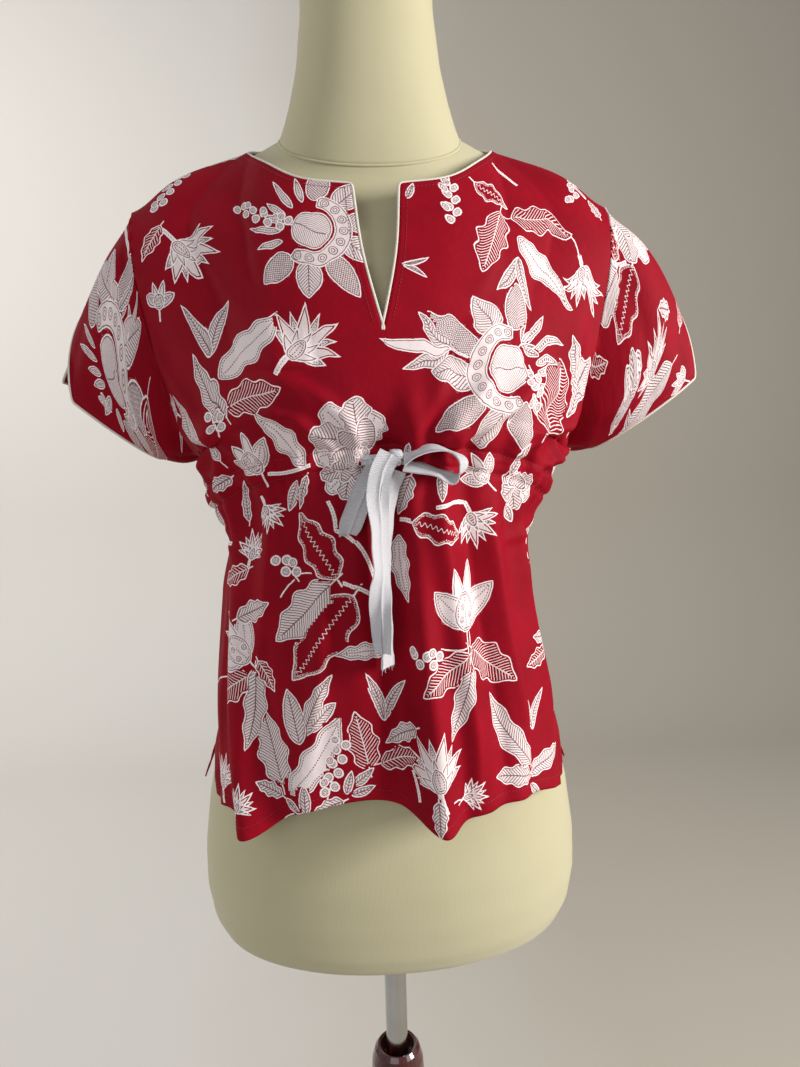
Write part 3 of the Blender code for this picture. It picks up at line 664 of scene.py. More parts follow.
def makePanel(name, facing, setup, tree, material):
    columns, rows = setup["columns"], setup["rows"]
    points = panelGrid(facing, columns, rows, tree)
    half = columns // 2
    flat = flatPlaces(points, int(round(cloth["casing"] * rows)), half)
    wide = columns + 2
    places, _ = quadPlaces(rows, np.delete(np.arange(wide - 1), half), wide)
    places = places if facing > 0 else places[:, ::-1]
    join = np.arange((rows + 1) * wide)
    whole = np.arange(rows + 1) / rows >= (cloth["slitEnd"] - 1e-6 if facing < 0 else -1)
    twin = np.arange(rows + 1)[whole] * wide + half + 1
    join[twin] = twin - 1
    piece, area = clothShell(name, points, join[places], flat.reshape(-1, 2)[places], setup, material)
    return piece, points, area


def sleeveEdges(side, share):
    opened = np.clip((share - sleeveSlit["start"]) / (1 - sleeveSlit["start"]), 0, 1)
    return sleeveSlit["front"][side] * opened, 2 * math.pi - sleeveSlit["back"] * opened


def sleeveSurface(side, share, turn):
    points = sleevePoint(share, turn, side)
    points[..., 0] *= side
    return softShoulder(points)


# share and turn of one end, of the other end, rise, half width
sleeveCreases = (
    (0.02, 0.9, 0.95, 1.5, 0.0016, 0.010),
    (0.00, 2.5, 0.70, 2.1, 0.0022, 0.009),
    (0.00, 3.0, 0.60, 2.7, 0.0022, 0.008),
    (0.05, 4.0, 0.80, 4.4, 0.0020, 0.010),
    (0.00, 5.2, 0.90, 5.0, 0.0014, 0.011),
    (0.45, 0.5, 0.98, 0.9, 0.0012, 0.008),
)


def sleeveRise(side, share, turn):
    length, radius = sleeveSlit["length"], sleeveSlit["radius"]
    rise = np.zeros_like(share)
    for fromShare, fromTurn, toShare, toTurn, lift, wide in sleeveCreases:
        run = np.array([(toShare - fromShare) * length, (toTurn - fromTurn) * radius])
        away = turn - fromTurn - 0.15 * (side > 0)
        along, aside = alongCrease((share - fromShare) * length, away * radius, run)
        rise += lift * easeIn((along + 0.25) / 0.4) * easeIn((1.2 - along) / 0.5) * bell(aside / wide)
    puckers = 0.0005 * np.sin(turn * 34 + 1.7 * np.sin(turn * 5)) * bell(share / 0.05)
    seam = -0.0007 * bell(share / 0.022)
    return rise * easeIn((1 - share) / 0.05 + 0.25) * easeIn(share / 0.12) + puckers + seam


def makeSleeve(name, side, setup, tree, material):
    rows, columns = setup["rows"], setup["columns"]
    shares = np.linspace(0.004, 1, rows + 1)
    start, end = sleeveEdges(side, shares)
    grid = np.linspace(0, 1, columns + 1)
    turn = start[:, None] + (end - start)[:, None] * grid
    share = np.repeat(shares[:, None], columns + 1, axis=1)
    points = sleeveSurface(side, share, turn)
    normals = gridNormals(points, -side)
    closed = shares <= sleeveSlit["start"]
    ends = unit(normals[closed, 0] + normals[closed, -1])
    normals[closed, 0] = ends
    normals[closed, -1] = ends
    rise = sleeveRise(side, share, turn) * easeIn(np.minimum(grid, 1 - grid) / 0.02 + 0.1)
    points = clearForm(points + normals * rise[..., None], tree, cloth["thickness"] + cloth["formClearance"])
    turned = runAlong(points, 1)
    frontHalf = turned + start[:, None] * sleeveSlit["radius"]
    backHalf = turned - turned[:, -1:]
    down = -runAlong(points)
    wide = columns + 1
    places, j = quadPlaces(rows, np.arange(columns), wide)
    places = places[:, [0, 3, 2, 1]] if side < 0 else places[:, [1, 2, 3, 0]]
    inFront = (j < columns // 2)[:, None]
    across = np.where(inFront, frontHalf.reshape(-1)[places], backHalf.reshape(-1)[places]) * side
    flat = np.stack([across, down.reshape(-1)[places]], axis=-1)
    join = np.arange((rows + 1) * wide)
    last = np.arange(rows + 1)[closed] * wide + columns
    join[last] = last - columns
    piece, area = clothShell(name, points, join[places], flat, setup, material)
    return piece, points, area


# Batik print: each shape is a leaf, petal, ring or stem with its own axis, laid on the flat cloth in mm.
# It is (layer, from x, y, to x, y, half width, base and tip fullness, drawing, sag, arc radius, arc sweep)
drawings = {
    "veined": 1, "outline": 2, "dotted": 3, "netted": 4, "lined": 5, "berry": 6, "stem": 7,
    "vine": 8, "spike": 9, "plain": 10, "disc": 11, "ringed": 12,
}


def leafShape(layer, start, turn, length, wide, drawing, wavy=False, sag=0.0, base=0.60, tip=0.85):
    x, y = start
    turn = math.radians(turn)
    kind = drawings[drawing] + (0.5 if wavy else 0)
    toX, toY = x + length * math.cos(turn), y + length * math.sin(turn)
    return (layer, x, y, toX, toY, wide, base, tip, kind, sag, 0, 0)


def roundShape(layer, x, y, radius, drawing):
    return (layer, x - radius, y, x + radius, y, radius, 0.5, 0.5, drawings[drawing], 0, 0, 0)


def stemShape(layer, fromX, fromY, toX, toY, wide, sag=0.0):
    return (layer, fromX, fromY, toX, toY, wide, 0.03, 0.03, drawings["stem"], sag, 0, 0)


def sunflower(size):
    shapes = [
        roundShape(3, 0, 0, 0.40 * size, "disc"),
        (2, 0, 0, 1, 0, 0.17 * size, 0.16, 0.16, drawings["ringed"], 0, 0.61 * size, 3.7),
    ]

    def petal(layer, out, turn, length, wide, *drawn, **fullness):
        start = (out * size * math.cos(math.radians(turn)), out * size * math.sin(math.radians(turn)))
        shapes.append(leafShape(layer, start, turn, length * size, wide * size, *drawn, **fullness))

    for i, length in enumerate((0.86, 0.74, 0.92, 0.70, 0.90, 0.76, 0.84)):
        wide, drawing = ((0.24, "netted"), (0.26, "veined"))[i % 2]
        petal(i % 2, 0.66, -108 + i * 36, length, wide, drawing, base=0.45, tip=0.75)
    for turn, length in ((132, 0.62), (152, 0.85), (172, 0.55), (-136, 0.60), (-156, 0.72), (-174, 0.5)):
        petal(0 if turn > 0 else 1, 0.62, turn, length, 0.085, "dotted")
    return shapes


def lotus(size):
    shapes = [stemShape(0, -0.35 * size, 0, 0.12 * size, 0, 0.045 * size, 0.03 * size)]

    def petal(layer, out, turn, length, wide, drawing, base, tip):
        start = (out * size, 0)
        shapes.append(leafShape(layer, start, turn, length * size, wide * size, drawing, base=base, tip=tip))

    for i, length in enumerate((0.52, 0.66, 0.60, 0.74, 0.66, 0.78, 0.62, 0.66, 0.50)):
        petal(i % 2, 0.14, -84 + i * 21, length, (0.10, 0.12)[i % 2], ("dotted", "spike")[i % 2], 0.35, 1.0)
    for turn, length in ((-60, 0.40), (-30, 0.46), (0, 0.50), (28, 0.46), (58, 0.40)):
        petal(2, 0.04, turn, length, 0.085, "plain", 0.3, 0.9)
    petal(3, -0.04, 0, 0.40, 0.13, "dotted", 0.45, 0.6)
    return shapes


def sprig(size):
    shapes = []
    for i, (turn, length, wide) in enumerate(((-38, 0.66, 0.105), (2, 1.0, 0.10), (34, 0.72, 0.10))):
        start, drawing = (0.04 * size * i, 0), ("veined", "plain")[i % 2]
        shapes.append(leafShape(i % 2, start, turn, length * size, wide * size, drawing, sag=0.05 * size))
    return shapes + [stemShape(2, -0.16 * size, 0, 0.08 * size, 0, 0.022 * size)]


def twinLeaves(size):
    shapes = [leafShape(0, (0, 0), -26, 0.92 * size, 0.115 * size, "veined", sag=0.06 * size)]
    shapes.append(leafShape(1, (0, 0), 24, size, 0.105 * size, "veined", sag=-0.06 * size))
    return shapes


def berries(size):
    radius = 3.9
    count = max(3, int(round(size / 5.6)))
    shapes = [stemShape(0, -7, 0, size * 0.2, 0, 0.55)]
    for i in range(count):
        x = radius * 1.45 * i
        shapes.append(roundShape(1 + i % 2, x, 3.1 * (1 if i % 2 else -1), radius, "berry"))
        if i % 3 == 1:
            shapes.append(roundShape(3, x + 1.5, -5.4, radius * 0.92, "berry"))
    return shapes


def blossom(size):
    shapes = []
    petals = ((-78, 0.62), (-46, 0.78), (-14, 0.84), (18, 0.82), (50, 0.74), (80, 0.60))
    start, wide = (0.12 * size, 0), 0.235 * size
    for i, (turn, length) in enumerate(petals):
        drawing = ("dotted", "veined")[i % 2]
        shapes.append(leafShape(i % 2, start, turn, length * size, wide, drawing, True, base=0.7, tip=0.4))
    for turn in (-52, 0, 50):
        shapes.append(leafShape(2, (0, 0), turn, 0.56 * size, 0.17 * size, "lined", base=0.5, tip=0.5))
    places = ((0.10, 0.10), (0.10, -0.10), (0.0, 0.0))
    return shapes + [roundShape(3, x * size, y * size, 0.07 * size, "berry") for x, y in places]


def tulip(size):
    shapes = [stemShape(0, -0.45 * size, 0, 0.05 * size, 0, 0.7)]
    for layer, turn, length, wide, drawing in (
        (0, -46, 0.86, 0.21, "dotted"), (1, 42, 0.80, 0.21, "dotted"),
        (1, -12, 1.0, 0.15, "plain"), (0, 14, 0.94, 0.14, "plain"),
    ):
        shapes.append(leafShape(layer, (0.04 * size, 0), turn, length * size, wide * size, drawing, base=0.7))
    shapes.append(leafShape(2, (-0.04 * size, 0), 0, 0.62 * size, 0.24 * size, "dotted", base=0.5, tip=0.5))
    places = ((0.16, 0.1), (0.34, 0.06), (0.2, -0.12))
    return shapes + [roundShape(3, x * size, y * size, 0.075 * size, "berry") for x, y in places]


motifs = {
    "sunflower": sunflower, "lotus": lotus, "sprig": sprig, "twinLeaves": twinLeaves, "berries": berries,
    "blossom": blossom, "tulip": tulip,
}
# drawing, half width, wavy edge or not, sag, then the stalk's ends and half width in millimetres
singleLeaves = {
    "veinLeaf": ("veined", 0.22, True, 0, -0.14, 0.06, 0.6),
    "outlineLeaf": ("outline", 0.24, True, 0, -0.14, 0.05, 0.5),
    "vineLeaf": ("vine", 0.22, True, 0, -0.12, 0.05, 0.8),
    "longLeaf": ("veined", 0.13, True, 0.05, -0.10, 0.06, 0.5),
    "dottedLeaf": ("dotted", 0.16, True, -0.05, 0, 0, 0),
    "smallLeaf": ("veined", 0.20, False, 0, 0, 0, 0),
}
# half width in millimetres and sag
stalks = {"stem": (1.5, 0.05), "twig": (0.55, 0.06)}


def motifShapes(name, size):
    if name in motifs:
        return motifs[name](size)
    if name in stalks:
        wide, sag = stalks[name]
        return [stemShape(0, 0, 0, size, 0, wide, sag * size)]
    drawing, wide, wavy, sag, fromX, toX, stalk = singleLeaves[name]
    shapes = [leafShape(1, (0, 0), 0, size, wide * size, drawing, wavy, sag * size)]
    return shapes + [stemShape(0, fromX * size, 0, toX * size, 0, stalk)] if stalk else shapes


def placedShapes(rows):
    # Each row: motif, across and down on the flat cloth, turn in degrees, size, below 0 where mirrored
    placed = []
    for name, atX, atY, turn, size in rows:
        c, s = math.cos(math.radians(turn)), math.sin(math.radians(turn))
        flip = math.copysign(1, size)
        for layer, x0, y0, x1, y1, wide, base, tip, kind, sag, arc, sweep in motifShapes(name, abs(size)):
            y0, y1, sag = y0 * flip, y1 * flip, sag * flip
            start = (atX + c * x0 - s * y0, atY + s * x0 + c * y0)
            end = (atX + c * x1 - s * y1, atY + s * x1 + c * y1)
            placed.append((layer, *start, *end, wide, base, tip, kind, sag, arc, sweep))
    return placed


printSetup = {"layers": 4, "reach": 3.2}


def layPrint(mesh, corners, shapes):
    # Gives every face, in each layer, the place of its corners along and across the nearest shape
    corners = corners * 1000
    middle = corners.mean(axis=1)
    size = len(corners)
    layers = printSetup["layers"]
    reach = printSetup["reach"]
    best = np.full((layers, size), 1.0)
    places = np.zeros((layers, size, 4, 3), np.float32)
    sizes = np.zeros((layers, size, 4, 4), np.float32)
    order = np.argsort(middle[:, 0])
    sortedX = middle[order, 0]

    def local(points, shape):
        _, x0, y0, x1, y1, _, _, _, _, sag, arc, sweep = shape
        dx, dy = points[..., 0] - x0, points[..., 1] - y0
        if arc:
            turn = (np.arctan2(dy, dx) - math.atan2(y1 - y0, x1 - x0) + math.pi) % (2 * math.pi) - math.pi
            return turn * arc + sweep * arc / 2, np.hypot(dx, dy) - arc, sweep * arc
        length = math.hypot(x1 - x0, y1 - y0)
        ux, uy = (x1 - x0) / length, (y1 - y0) / length
        x, y = dx * ux + dy * uy, dy * ux - dx * uy
        share = np.clip(x / length, -0.2, 1.2)
        return x, y - 4 * sag * share * (1 - share), length

    for shape in shapes:
        layer, x0, y0, x1, y1, wide, base, tip, kind, sag, arc, _ = shape
        span = wide + abs(sag) + reach + (arc + 1 if arc else 0)
        first, last = np.searchsorted(sortedX, (min(x0, x1) - span, max(x0, x1) + span))
        near = order[first:last]
        near = near[(middle[near, 1] > min(y0, y1) - span) & (middle[near, 1] < max(y0, y1) + span)]
        x, y, length = local(middle[near], shape)
        score = np.maximum(np.abs(y) / (wide + reach), np.abs(x - length / 2) / (length / 2 + reach))
        nearer = score < best[layer, near]
        chosen = near[nearer]
        best[layer, chosen] = score[nearer]
        for column, value in enumerate(local(corners[chosen], shape)):
            places[layer, chosen, :, column] = value
        sizes[layer, chosen] = (wide, base, tip, kind)
    for layer in range(layers):
        store = mesh.attributes.new(f"leafPlace{layer}", "FLOAT_VECTOR", "CORNER")
        store.data.foreach_set("vector", places[layer].reshape(-1))
        store = mesh.attributes.new(f"leafSize{layer}", "FLOAT_COLOR", "CORNER")
        store.data.foreach_set("color", sizes[layer].reshape(-1))


batik = {
    "ground": (0.335, 0.0010, 0.012),
    "groundDeep": (0.195, 0.0007, 0.008),
    "wax": (0.930, 0.832, 0.826),
    "waxInner": (0.810, 0.700, 0.690),
    "line": (0.105, 0.006, 0.018),
    "lineStrength": 0.86,
    "wobble": 0.85,
    "wobbleScale": 330,
    "speckleScale": 1300,
    "cloudScale": 26,
    "crumpleScale": 90,
    "crumpleBump": (0.32, 0.0016),
    "threadPitch": 0.00055,
    "weaveBump": (0.25, 0.00012),
}


def lineMask(value, pitch, width):
    # 1 on evenly spaced lines of that width, in millimetres
    return bandMask((value / pitch).maths("FRACT"), 0.5, width / pitch / 2)


def bandMask(value, middle, half):
    return abs(value - middle) < half


def makeEdgeGroup():
    # Distance inside the shape's edge in millimetres, below 0 outside it
    group, given, out = newGroup("shapeEdge", {"Place": None, "Size": None, "Kind": 0.0}, ("Inside", "Share"))
    x, y, length = splitVector(group, given["Place"])
    wide, base, tip = splitVector(group, given["Size"])
    kind = given["Kind"]
    share = x / (length | 0.001)
    safe = (share | 0.004).maths("MINIMUM", 0.996)
    rest = 1.0 - safe
    peak = base / (base + tip | 0.001)
    rise = (safe / peak).maths("POWER", base)
    fall = (rest / (1.0 - peak)).maths("POWER", tip)
    wavy = kind.maths("FRACT") > 0.25
    lobe = (share * (2 * math.pi * 3.4)).maths("COSINE")
    half = rise * fall * wide * (lobe * wavy).fit(-0.13, 1.0)
    slope = half / (length | 0.001) * (base / safe - tip / rest)
    gap = (half - abs(y)) * slope.fit(slope, 1.0).maths("INVERSE_SQRT")
    inside = gap.maths("MINIMUM", x.maths("MINIMUM", length - x))
    feed(out, Inside=inside - (kind < 0.5) * 99, Share=share)
    return group


def makeDrawingGroup():
    # The lines drawn in wax and in dye inside one shape
    inputs = {"Place": None, "Inside": 0.0, "Share": 0.0, "Kind": 0.0, "Speckle": 0.5}
    group, given, out = newGroup("shapeDrawing", inputs, ("Wax", "Line"))
    x, y, length = splitVector(group, given["Place"])
    inside, share = given["Inside"], given["Share"]
    style = given["Kind"].maths("FLOOR")
    speckle = given["Speckle"] > 0.54
    side = abs(y)
    radius = ((x - length * 0.5).maths("POWER", 2) + y.maths("POWER", 2)).maths("SQRT")
    inMiddle = (share > 0.06) & (share < 0.88)
    midrib = (side < 0.42) & inMiddle
    slant = side.fit(-0.9, x)
    deep = inside > 1.7
    margin = bandMask(inside, 1.25, 0.34)
    dashes = lineMask(x, 2.0, 1.15)
    dottedEdge = margin | bandMask(inside, 3.1, 0.42) & dashes
    net = (lineMask(x + y, 2.2, 0.66) | lineMask(x - y, 2.2, 0.66)) & (inside > 1.2)
    toRing = ((x / 9.6).maths("FRACT") - 0.5) * 9.6
    ringRadius = (toRing.maths("POWER", 2) + y.maths("POWER", 2)).maths("SQRT")
    swing = (x * 1.5).maths("SINE") * 1.3
    curls = bandMask(y - swing, 0.0, 0.5) & (inside > 3.0)
    rim = inside < 0.95
    isStyle = {name: style.maths("COMPARE", number, 0.3) for name, number in drawings.items()}
    openWax = {
        "outline": rim | (side < 0.45) & inMiddle | lineMask(slant, 2.9, 0.85) & (inside > 1.9),
        "vine": rim | bandMask(inside, 2.1, 0.85) & speckle | curls,
        "spike": rim | (inside > 1.75),
    }
    dye = {
        "veined": margin | midrib | lineMask(slant, 2.6, 0.85) & deep,
        "dotted": dottedEdge | bandMask(side, 0.0, 0.45) & dashes & inMiddle,
        "netted": margin | net,
        "lined": margin | lineMask(x, 1.9, 0.7) & (inside > 1.3),
        "berry": bandMask(radius, 2.2, 0.25) | (radius < 1.6) & speckle,
        "stem": bandMask(y, 0.0, 0.35) & lineMask(x, 2.4, 0.7) & (inside > 0.9),
        "vine": bandMask(inside, 1.15, 0.2) & rim,
        "plain": margin,
        "disc": margin | midrib | lineMask(slant, 2.1, 0.5) & deep,
        "ringed": margin | bandMask(ringRadius, 3.1, 0.34) | bandMask(ringRadius, 1.5, 0.3),
    }
    wax, line = 1.0, 0.0
    for name, mask in openWax.items():
        wax = wax - isStyle[name] * (1.0 - mask)
    for name, mask in dye.items():
        line = isStyle[name].fit(mask, line)
    inShape = inside > 0.0
    feed(out, Wax=wax & inShape, Line=line & inShape)
    return group


edgeGroup = makeEdgeGroup()
drawingGroup = makeDrawingGroup()


def makeBatik(name):
    material, tree, shader = newMaterial(name, 0.70, Specular_IOR_Level=0.10)
    flat = uvPlace(tree, "flatCloth")
    wobble = batik["wobble"]
    wander = noise(tree, flat, batik["wobbleScale"], 1.5, output="Color")
    shift = addNode(tree, "ShaderNodeVectorMath", {
        0: wander, 1: (wobble, wobble, 0), 2: (-wobble / 2, -wobble / 2, 0),
    }, operation="MULTIPLY_ADD").outputs["Vector"]
    placeNow, stateNow = None, None
    for layer in range(printSetup["layers"]):
        place = addNode(tree, "ShaderNodeAttribute", attribute_name=f"leafPlace{layer}").outputs["Vector"]
        size = addNode(tree, "ShaderNodeAttribute", attribute_name=f"leafSize{layer}").outputs
        moved = addNode(tree, "ShaderNodeVectorMath", {0: place, 1: shift}).outputs["Vector"]
        edge = useGroup(tree, edgeGroup, Place=moved, Size=size["Vector"], Kind=size["Alpha"])
        states = {0: edge["Inside"], 1: edge["Share"], 2: size["Alpha"]}
        state = addNode(tree, "ShaderNodeCombineXYZ", states).outputs[0]
        if placeNow is None:
            placeNow, stateNow = moved, state
            continue
        covers = edge["Inside"] > 0.0
        placeNow = mixVector(tree, covers, placeNow, moved)
        stateNow = mixVector(tree, covers, stateNow, state)
    inside, share, kind = splitVector(tree, stateNow)
    speckle = noise(tree, flat, batik["speckleScale"], 0.0)
    drawn = useGroup(
        tree, drawingGroup, Place=placeNow, Inside=inside, Share=share, Kind=kind, Speckle=speckle,
    )
    cloud = noise(tree, flat, batik["cloudScale"], 3.0)
    ground = mixColour(tree, cloud, batik["groundDeep"], batik["ground"])
    inner = (inside - 0.7).maths("MULTIPLY", 1.3, clamp=True)
    wax = mixColour(tree, inner, batik["wax"], batik["waxInner"])
    colour = mixColour(tree, drawn["Wax"], ground, wax)
    weave = useGroup(tree, weaveGroup, Place=flat, Pitch=batik["threadPitch"])
    height = weave["Slub"].fit(1.2, weave["Height"])
    crumpled = bump(tree, noise(tree, flat, batik["crumpleScale"], 3.0), *batik["crumpleBump"])
    feed(
        shader,
        Base_Color=mixColour(tree, drawn["Line"] * batik["lineStrength"], colour, batik["line"]),
        Roughness=weave["Slub"].fit(0.14, 0.62),
        Normal=bump(tree, height, *batik["weaveBump"], crumpled),
    )
    return material


batikMaterial = makeBatik("batikCotton")
print("batik print drawn")


# Dress form: padded jersey cover over the moulded body

form = {
    "backTilt": 0.3,
    "square": 0.92,
    "bust": {"x": 0.076, "z": 1.262, "rise": 0.024, "wide": 0.046, "tall": 0.044},
    "columns": 128,
    "rows": 96,
    "jersey": (0.560, 0.515, 0.335),
    "jerseyShade": (0.490, 0.445, 0.275),
    "rib": 0.0011,
}
# height, half width, front and back depth, tilt of the section up to the back
torso = (
    (0.772, 0.138, 0.084, 0.090, 0.0),
    (0.774, 0.148, 0.094, 0.102, 0.0),
    (0.782, 0.158, 0.103, 0.112, 0.0),
    (0.797, 0.165, 0.109, 0.118, 0.0),
    (0.825, 0.169, 0.113, 0.124, 0.0),
    (0.860, 0.168, 0.115, 0.126, 0.0),
    (0.910, 0.161, 0.112, 0.119, 0.0),
    (0.960, 0.149, 0.107, 0.107, 0.0),
    (1.010, 0.134, 0.100, 0.093, 0.0),
    (1.065, 0.117, 0.094, 0.083, 0.0),
    (1.120, 0.113, 0.095, 0.083, 0.0),
    (1.180, 0.120, 0.099, 0.090, 0.0),
    (1.230, 0.131, 0.103, 0.096, 0.0),
    (1.280, 0.142, 0.107, 0.102, 0.05),
    (1.325, 0.151, 0.1005, 0.105, 0.12),
    (1.365, 0.161, 0.088, 0.101, 0.20),
    (1.392, 0.165, 0.075, 0.087, 0.30),
    (1.408, 0.160, 0.063, 0.075, 0.40),
    (1.422, 0.140, 0.056, 0.066, 0.50),
    (1.436, 0.110, 0.052, 0.063, 0.58),
    (1.447, 0.086, 0.050, 0.057, 0.63),
    (1.454, 0.073, 0.050, 0.055, 0.64),
)
neck = (
    (1.4545, 0.0725, 0.0500, 0.0550, 0.64),
    (1.466, 0.0680, 0.0495, 0.0530, 0.52),
    (1.482, 0.0630, 0.0490, 0.0510, 0.36),
    (1.506, 0.0570, 0.0490, 0.0490, 0.16),
    (1.545, 0.0520, 0.0490, 0.0480, 0.0),
    (1.572, 0.0515, 0.0480, 0.0475, 0.0),
    (1.581, 0.0480, 0.0450, 0.0450, 0.0),
    (1.584, 0.0400, 0.0380, 0.0380, 0.0),
)


def formRings(table, columns, rows):
    table = np.array(table)
    share = np.linspace(0, len(table) - 1, rows)
    low = np.clip(share.astype(int), 0, len(table) - 2)
    part = (share - low)[:, None]
    sections = table[low] * (1 - part) + table[low + 1] * part
    angles = np.linspace(0, 2 * math.pi, columns, endpoint=False)
    height, half, front, back, tilt = (sections[:, k:k + 1] for k in range(5))
    x = half * rounded(np.cos(angles), form["square"])
    depth = np.where(np.sin(angles) < 0, front, back)
    y = depth * rounded(np.sin(angles), form["square"])
    rings = np.stack([x, y, height + tilt * np.where(y < 0, y, form["backTilt"] * y)], axis=-1)
    bust = form["bust"]
    aside, up = (np.abs(rings[..., 0]) - bust["x"]) / bust["wide"], (rings[..., 2] - bust["z"]) / bust["tall"]
    rings[..., 1] -= np.where(rings[..., 1] < 0, bust["rise"] * bell(aside) * bell(up), 0)
    return rings


def closedLoft(name, rings, material):
    return addPiece(name, rings.reshape(-1, 3), loftFaces(*rings.shape[:2]), material)


def makeJersey():
    # Fine knitted ribs running down the form, with painted shade darkening the grooves between them
    material, tree, shader = newMaterial(
        "creamJersey", 0.85, Sheen_Weight=0.22, Sheen_Roughness=0.5, Specular_IOR_Level=0.22,
    )
    place = objectPlace(tree)
    x, y, z = splitVector(tree, place)
    rib = abs((y.maths("ARCTAN2", x) * (0.13 * math.pi / form["rib"])).maths("SINE"))
    course = abs((z * (math.pi / 0.0009)).maths("SINE"))
    cloud = noise(tree, place, 14, 3.0)
    shade = mixColour(tree, cloud, form["jerseyShade"], form["jersey"])
    feed(
        shader,
        # the darker cream in the grooves between the ribs is painted shade
        Base_Color=mixColour(tree, (1.0 - rib) * 0.16, shade, (0.36, 0.32, 0.19)),
        Roughness=noise(tree, place, 600).fit(0.2, 0.74),
        Normal=bump(tree, course.fit(0.4, rib), 0.30, 0.00016, bump(tree, cloud, 0.12, 0.003)),
    )
    return material


jersey = makeJersey()
neckRings = formRings(neck, form["columns"], 40)
rideRoot(closedLoft("formTorso", formRings(torso, form["columns"], form["rows"]), jersey), "form_torso")
rideRoot(closedLoft("formNeck", neckRings, jersey), "form_neck")
coarse = formRings(torso, 36, len(torso))
formTree = BVHTree.FromPolygons([Vector(p) for p in coarse.reshape(-1, 3)], loftFaces(len(torso), 36))
print("dress form made")


# Motifs of the print: across and down on the flat cloth in mm, turn in degrees, size, below 0 where mirrored
frontMotifs = {
    "berries": (
        (-159, 251, -103, 51), (-52, 182, 158, 56), (-132, 29, 108, 25), (73, 218, -93, 38),
        (205, 231, -132, 27), (118, 66, -77, 31), (-72, -85, 132, 22), (-51, -250, 74, -47),
        (47, -150, 174, 26), (155, -79, -38, 29), (204, -200, 95, 36), (-206, -132, 100, 34),
    ),
    "veinLeaf": (
        (-118, 270, -174, 36), (212, 203, 100, 20), (-39, -90, -137, 66), (-124, -120, 24, 36),
        (-88, -246, 106, 61), (-88, -254, 156, 25), (-40, -256, -157, 28), (-137, -12, -157, 25),
        (22, -15, -112, 31), (187, -153, 171, 28), (22, -201, -156, 32), (134, -251, 172, 37),
        (39, -252, -90, 28), (-206, -76, 75, 50),
    ),
    "sunflower": ((-34, 174, -31, 39), (95, 68, -176, 46)),
    "lotus": (
        (-151, 176, -41, 45), (-66, 78, 51, 49), (-184, 49, 139, 22), (177, 154, -92, 36),
        (-96, -34, -65, 24), (-175, -267, 106, 34), (-127, -267, 64, 25), (-116, -75, 81, 26),
        (76, -45, -55, 32), (42, -245, 100, 50), (68, -257, 16, 23),
    ),
    "outlineLeaf": (
        (-163, 190, -120, 29), (-123, 43, 13, 51), (114, 195, -123, 57), (124, 191, -6, -53),
        (139, 20, 82, 65), (-117, -82, -157, 31), (-112, -162, -150, 47), (-104, -150, -61, 27),
        (-20, -233, 101, 47), (73, -148, -146, 50), (75, -143, -33, -57), (179, -162, -164, 30),
        (-12, -229, 10, 36), (-204, -24, 110, 42),
    ),
    "tulip": (
        (-169, 125, 82, 21), (-102, -8, 119, 32), (88, -21, 136, 26), (-113, -151, 144, 45),
        (70, -129, 94, 49),
    ),
    "twinLeaves": (
        (-133, 83, 88, 48), (119, 156, -109, 41), (97, 47, -99, 25), (26, 144, -12, 21), (-7, -197, 87, 34),
        (-7, -197, 83, 40), (151, -221, 84, 39),
    ),
    "dottedLeaf": (
        (-128, 65, 41, 75), (-62, -5, 132, 56), (124, 173, -52, 62), (-81, -251, 56, 75), (0, -144, -179, 40),
        (11, -58, -79, 50), (205, -105, 80, 52),
    ),
    "longLeaf": (
        (-123, 36, 115, 60), (-140, 2, 122, 69), (170, 60, 105, 46), (108, -16, 56, 34), (-60, -12, -108, 27),
        (-107, -155, -101, 67), (-69, -206, 61, 54), (-122, -47, 93, 33), (-79, -276, -149, 21),
        (74, -152, -106, 62), (139, -247, 121, 77), (135, -254, 6, 59), (206, -40, 100, 50),
    ),
    "blossom": ((-15, 4, 141, 49), (-26, -4, -117, 30), (123, -16, -99, 32)),
    "stem": (
        (-58, -4, -172, 41), (144, 226, 120, 29), (-36, -90, -24, 28), (-44, -32, -73, 22),
        (-38, -53, -30, 17), (-23, -61, -62, 32), (-151, -64, 3, 15), (41, -39, 4, 33), (12, -47, -4, 12),
        (15, -234, -77, 23),
    ),
    "vineLeaf": (
        (95, 226, -40, 39), (-36, -88, 124, 59), (-24, -100, -129, 82), (23, -49, -15, 48), (198, 30, 60, 40),
    ),
    "twig": (
        (175, 184, -86, 25), (-82, -102, 48, 23), (-66, -84, 5, 10), (-190, -185, 22, 37),
        (73, -142, -180, 24), (73, -131, -90, 16), (53, -256, -4, 12),
    ),
    "sprig": ((108, 86, 38, 26), (52, 81, 172, 54)),
    "smallLeaf": (
        (111, 86, -23, 18), (169, 52, 73, 42), (161, 42, 47, 25), (17, -3, 83, 15), (39, 199, 66, 15),
        (-68, -16, -112, 25), (-72, -212, 101, 43), (-66, -201, 41, -32), (-85, -255, -41, 16),
        (-69, -266, -158, 23), (-69, -266, 92, 24), (-33, -245, 39, 21), (-34, -252, 19, 19),
        (-38, -251, 76, 19), (46, -14, -91, 21), (192, -125, -169, 14), (116, -40, -49, 19),
        (174, -78, 78, 23), (146, -272, 136, 18), (198, 96, 60, 30), (-196, 98, 120, 30),
    ),
}
rightMotifs = {
    "stem": ((-65, -2, -11, 42),),
    "veinLeaf": ((-73, -30, -18, 55), (-75, -31, -35, -30)),
    "longLeaf": ((-74, -30, 96, 34),),
    "sprig": ((-97, -24, 74, 26),),
    "sunflower": ((-83, -64, 112, 47),),
    "berries": ((-87, -111, -43, 17),),
    "smallLeaf": ((-102, -68, 124, 16),),
    "outlineLeaf": ((-131, -138, 15, 20),),
}
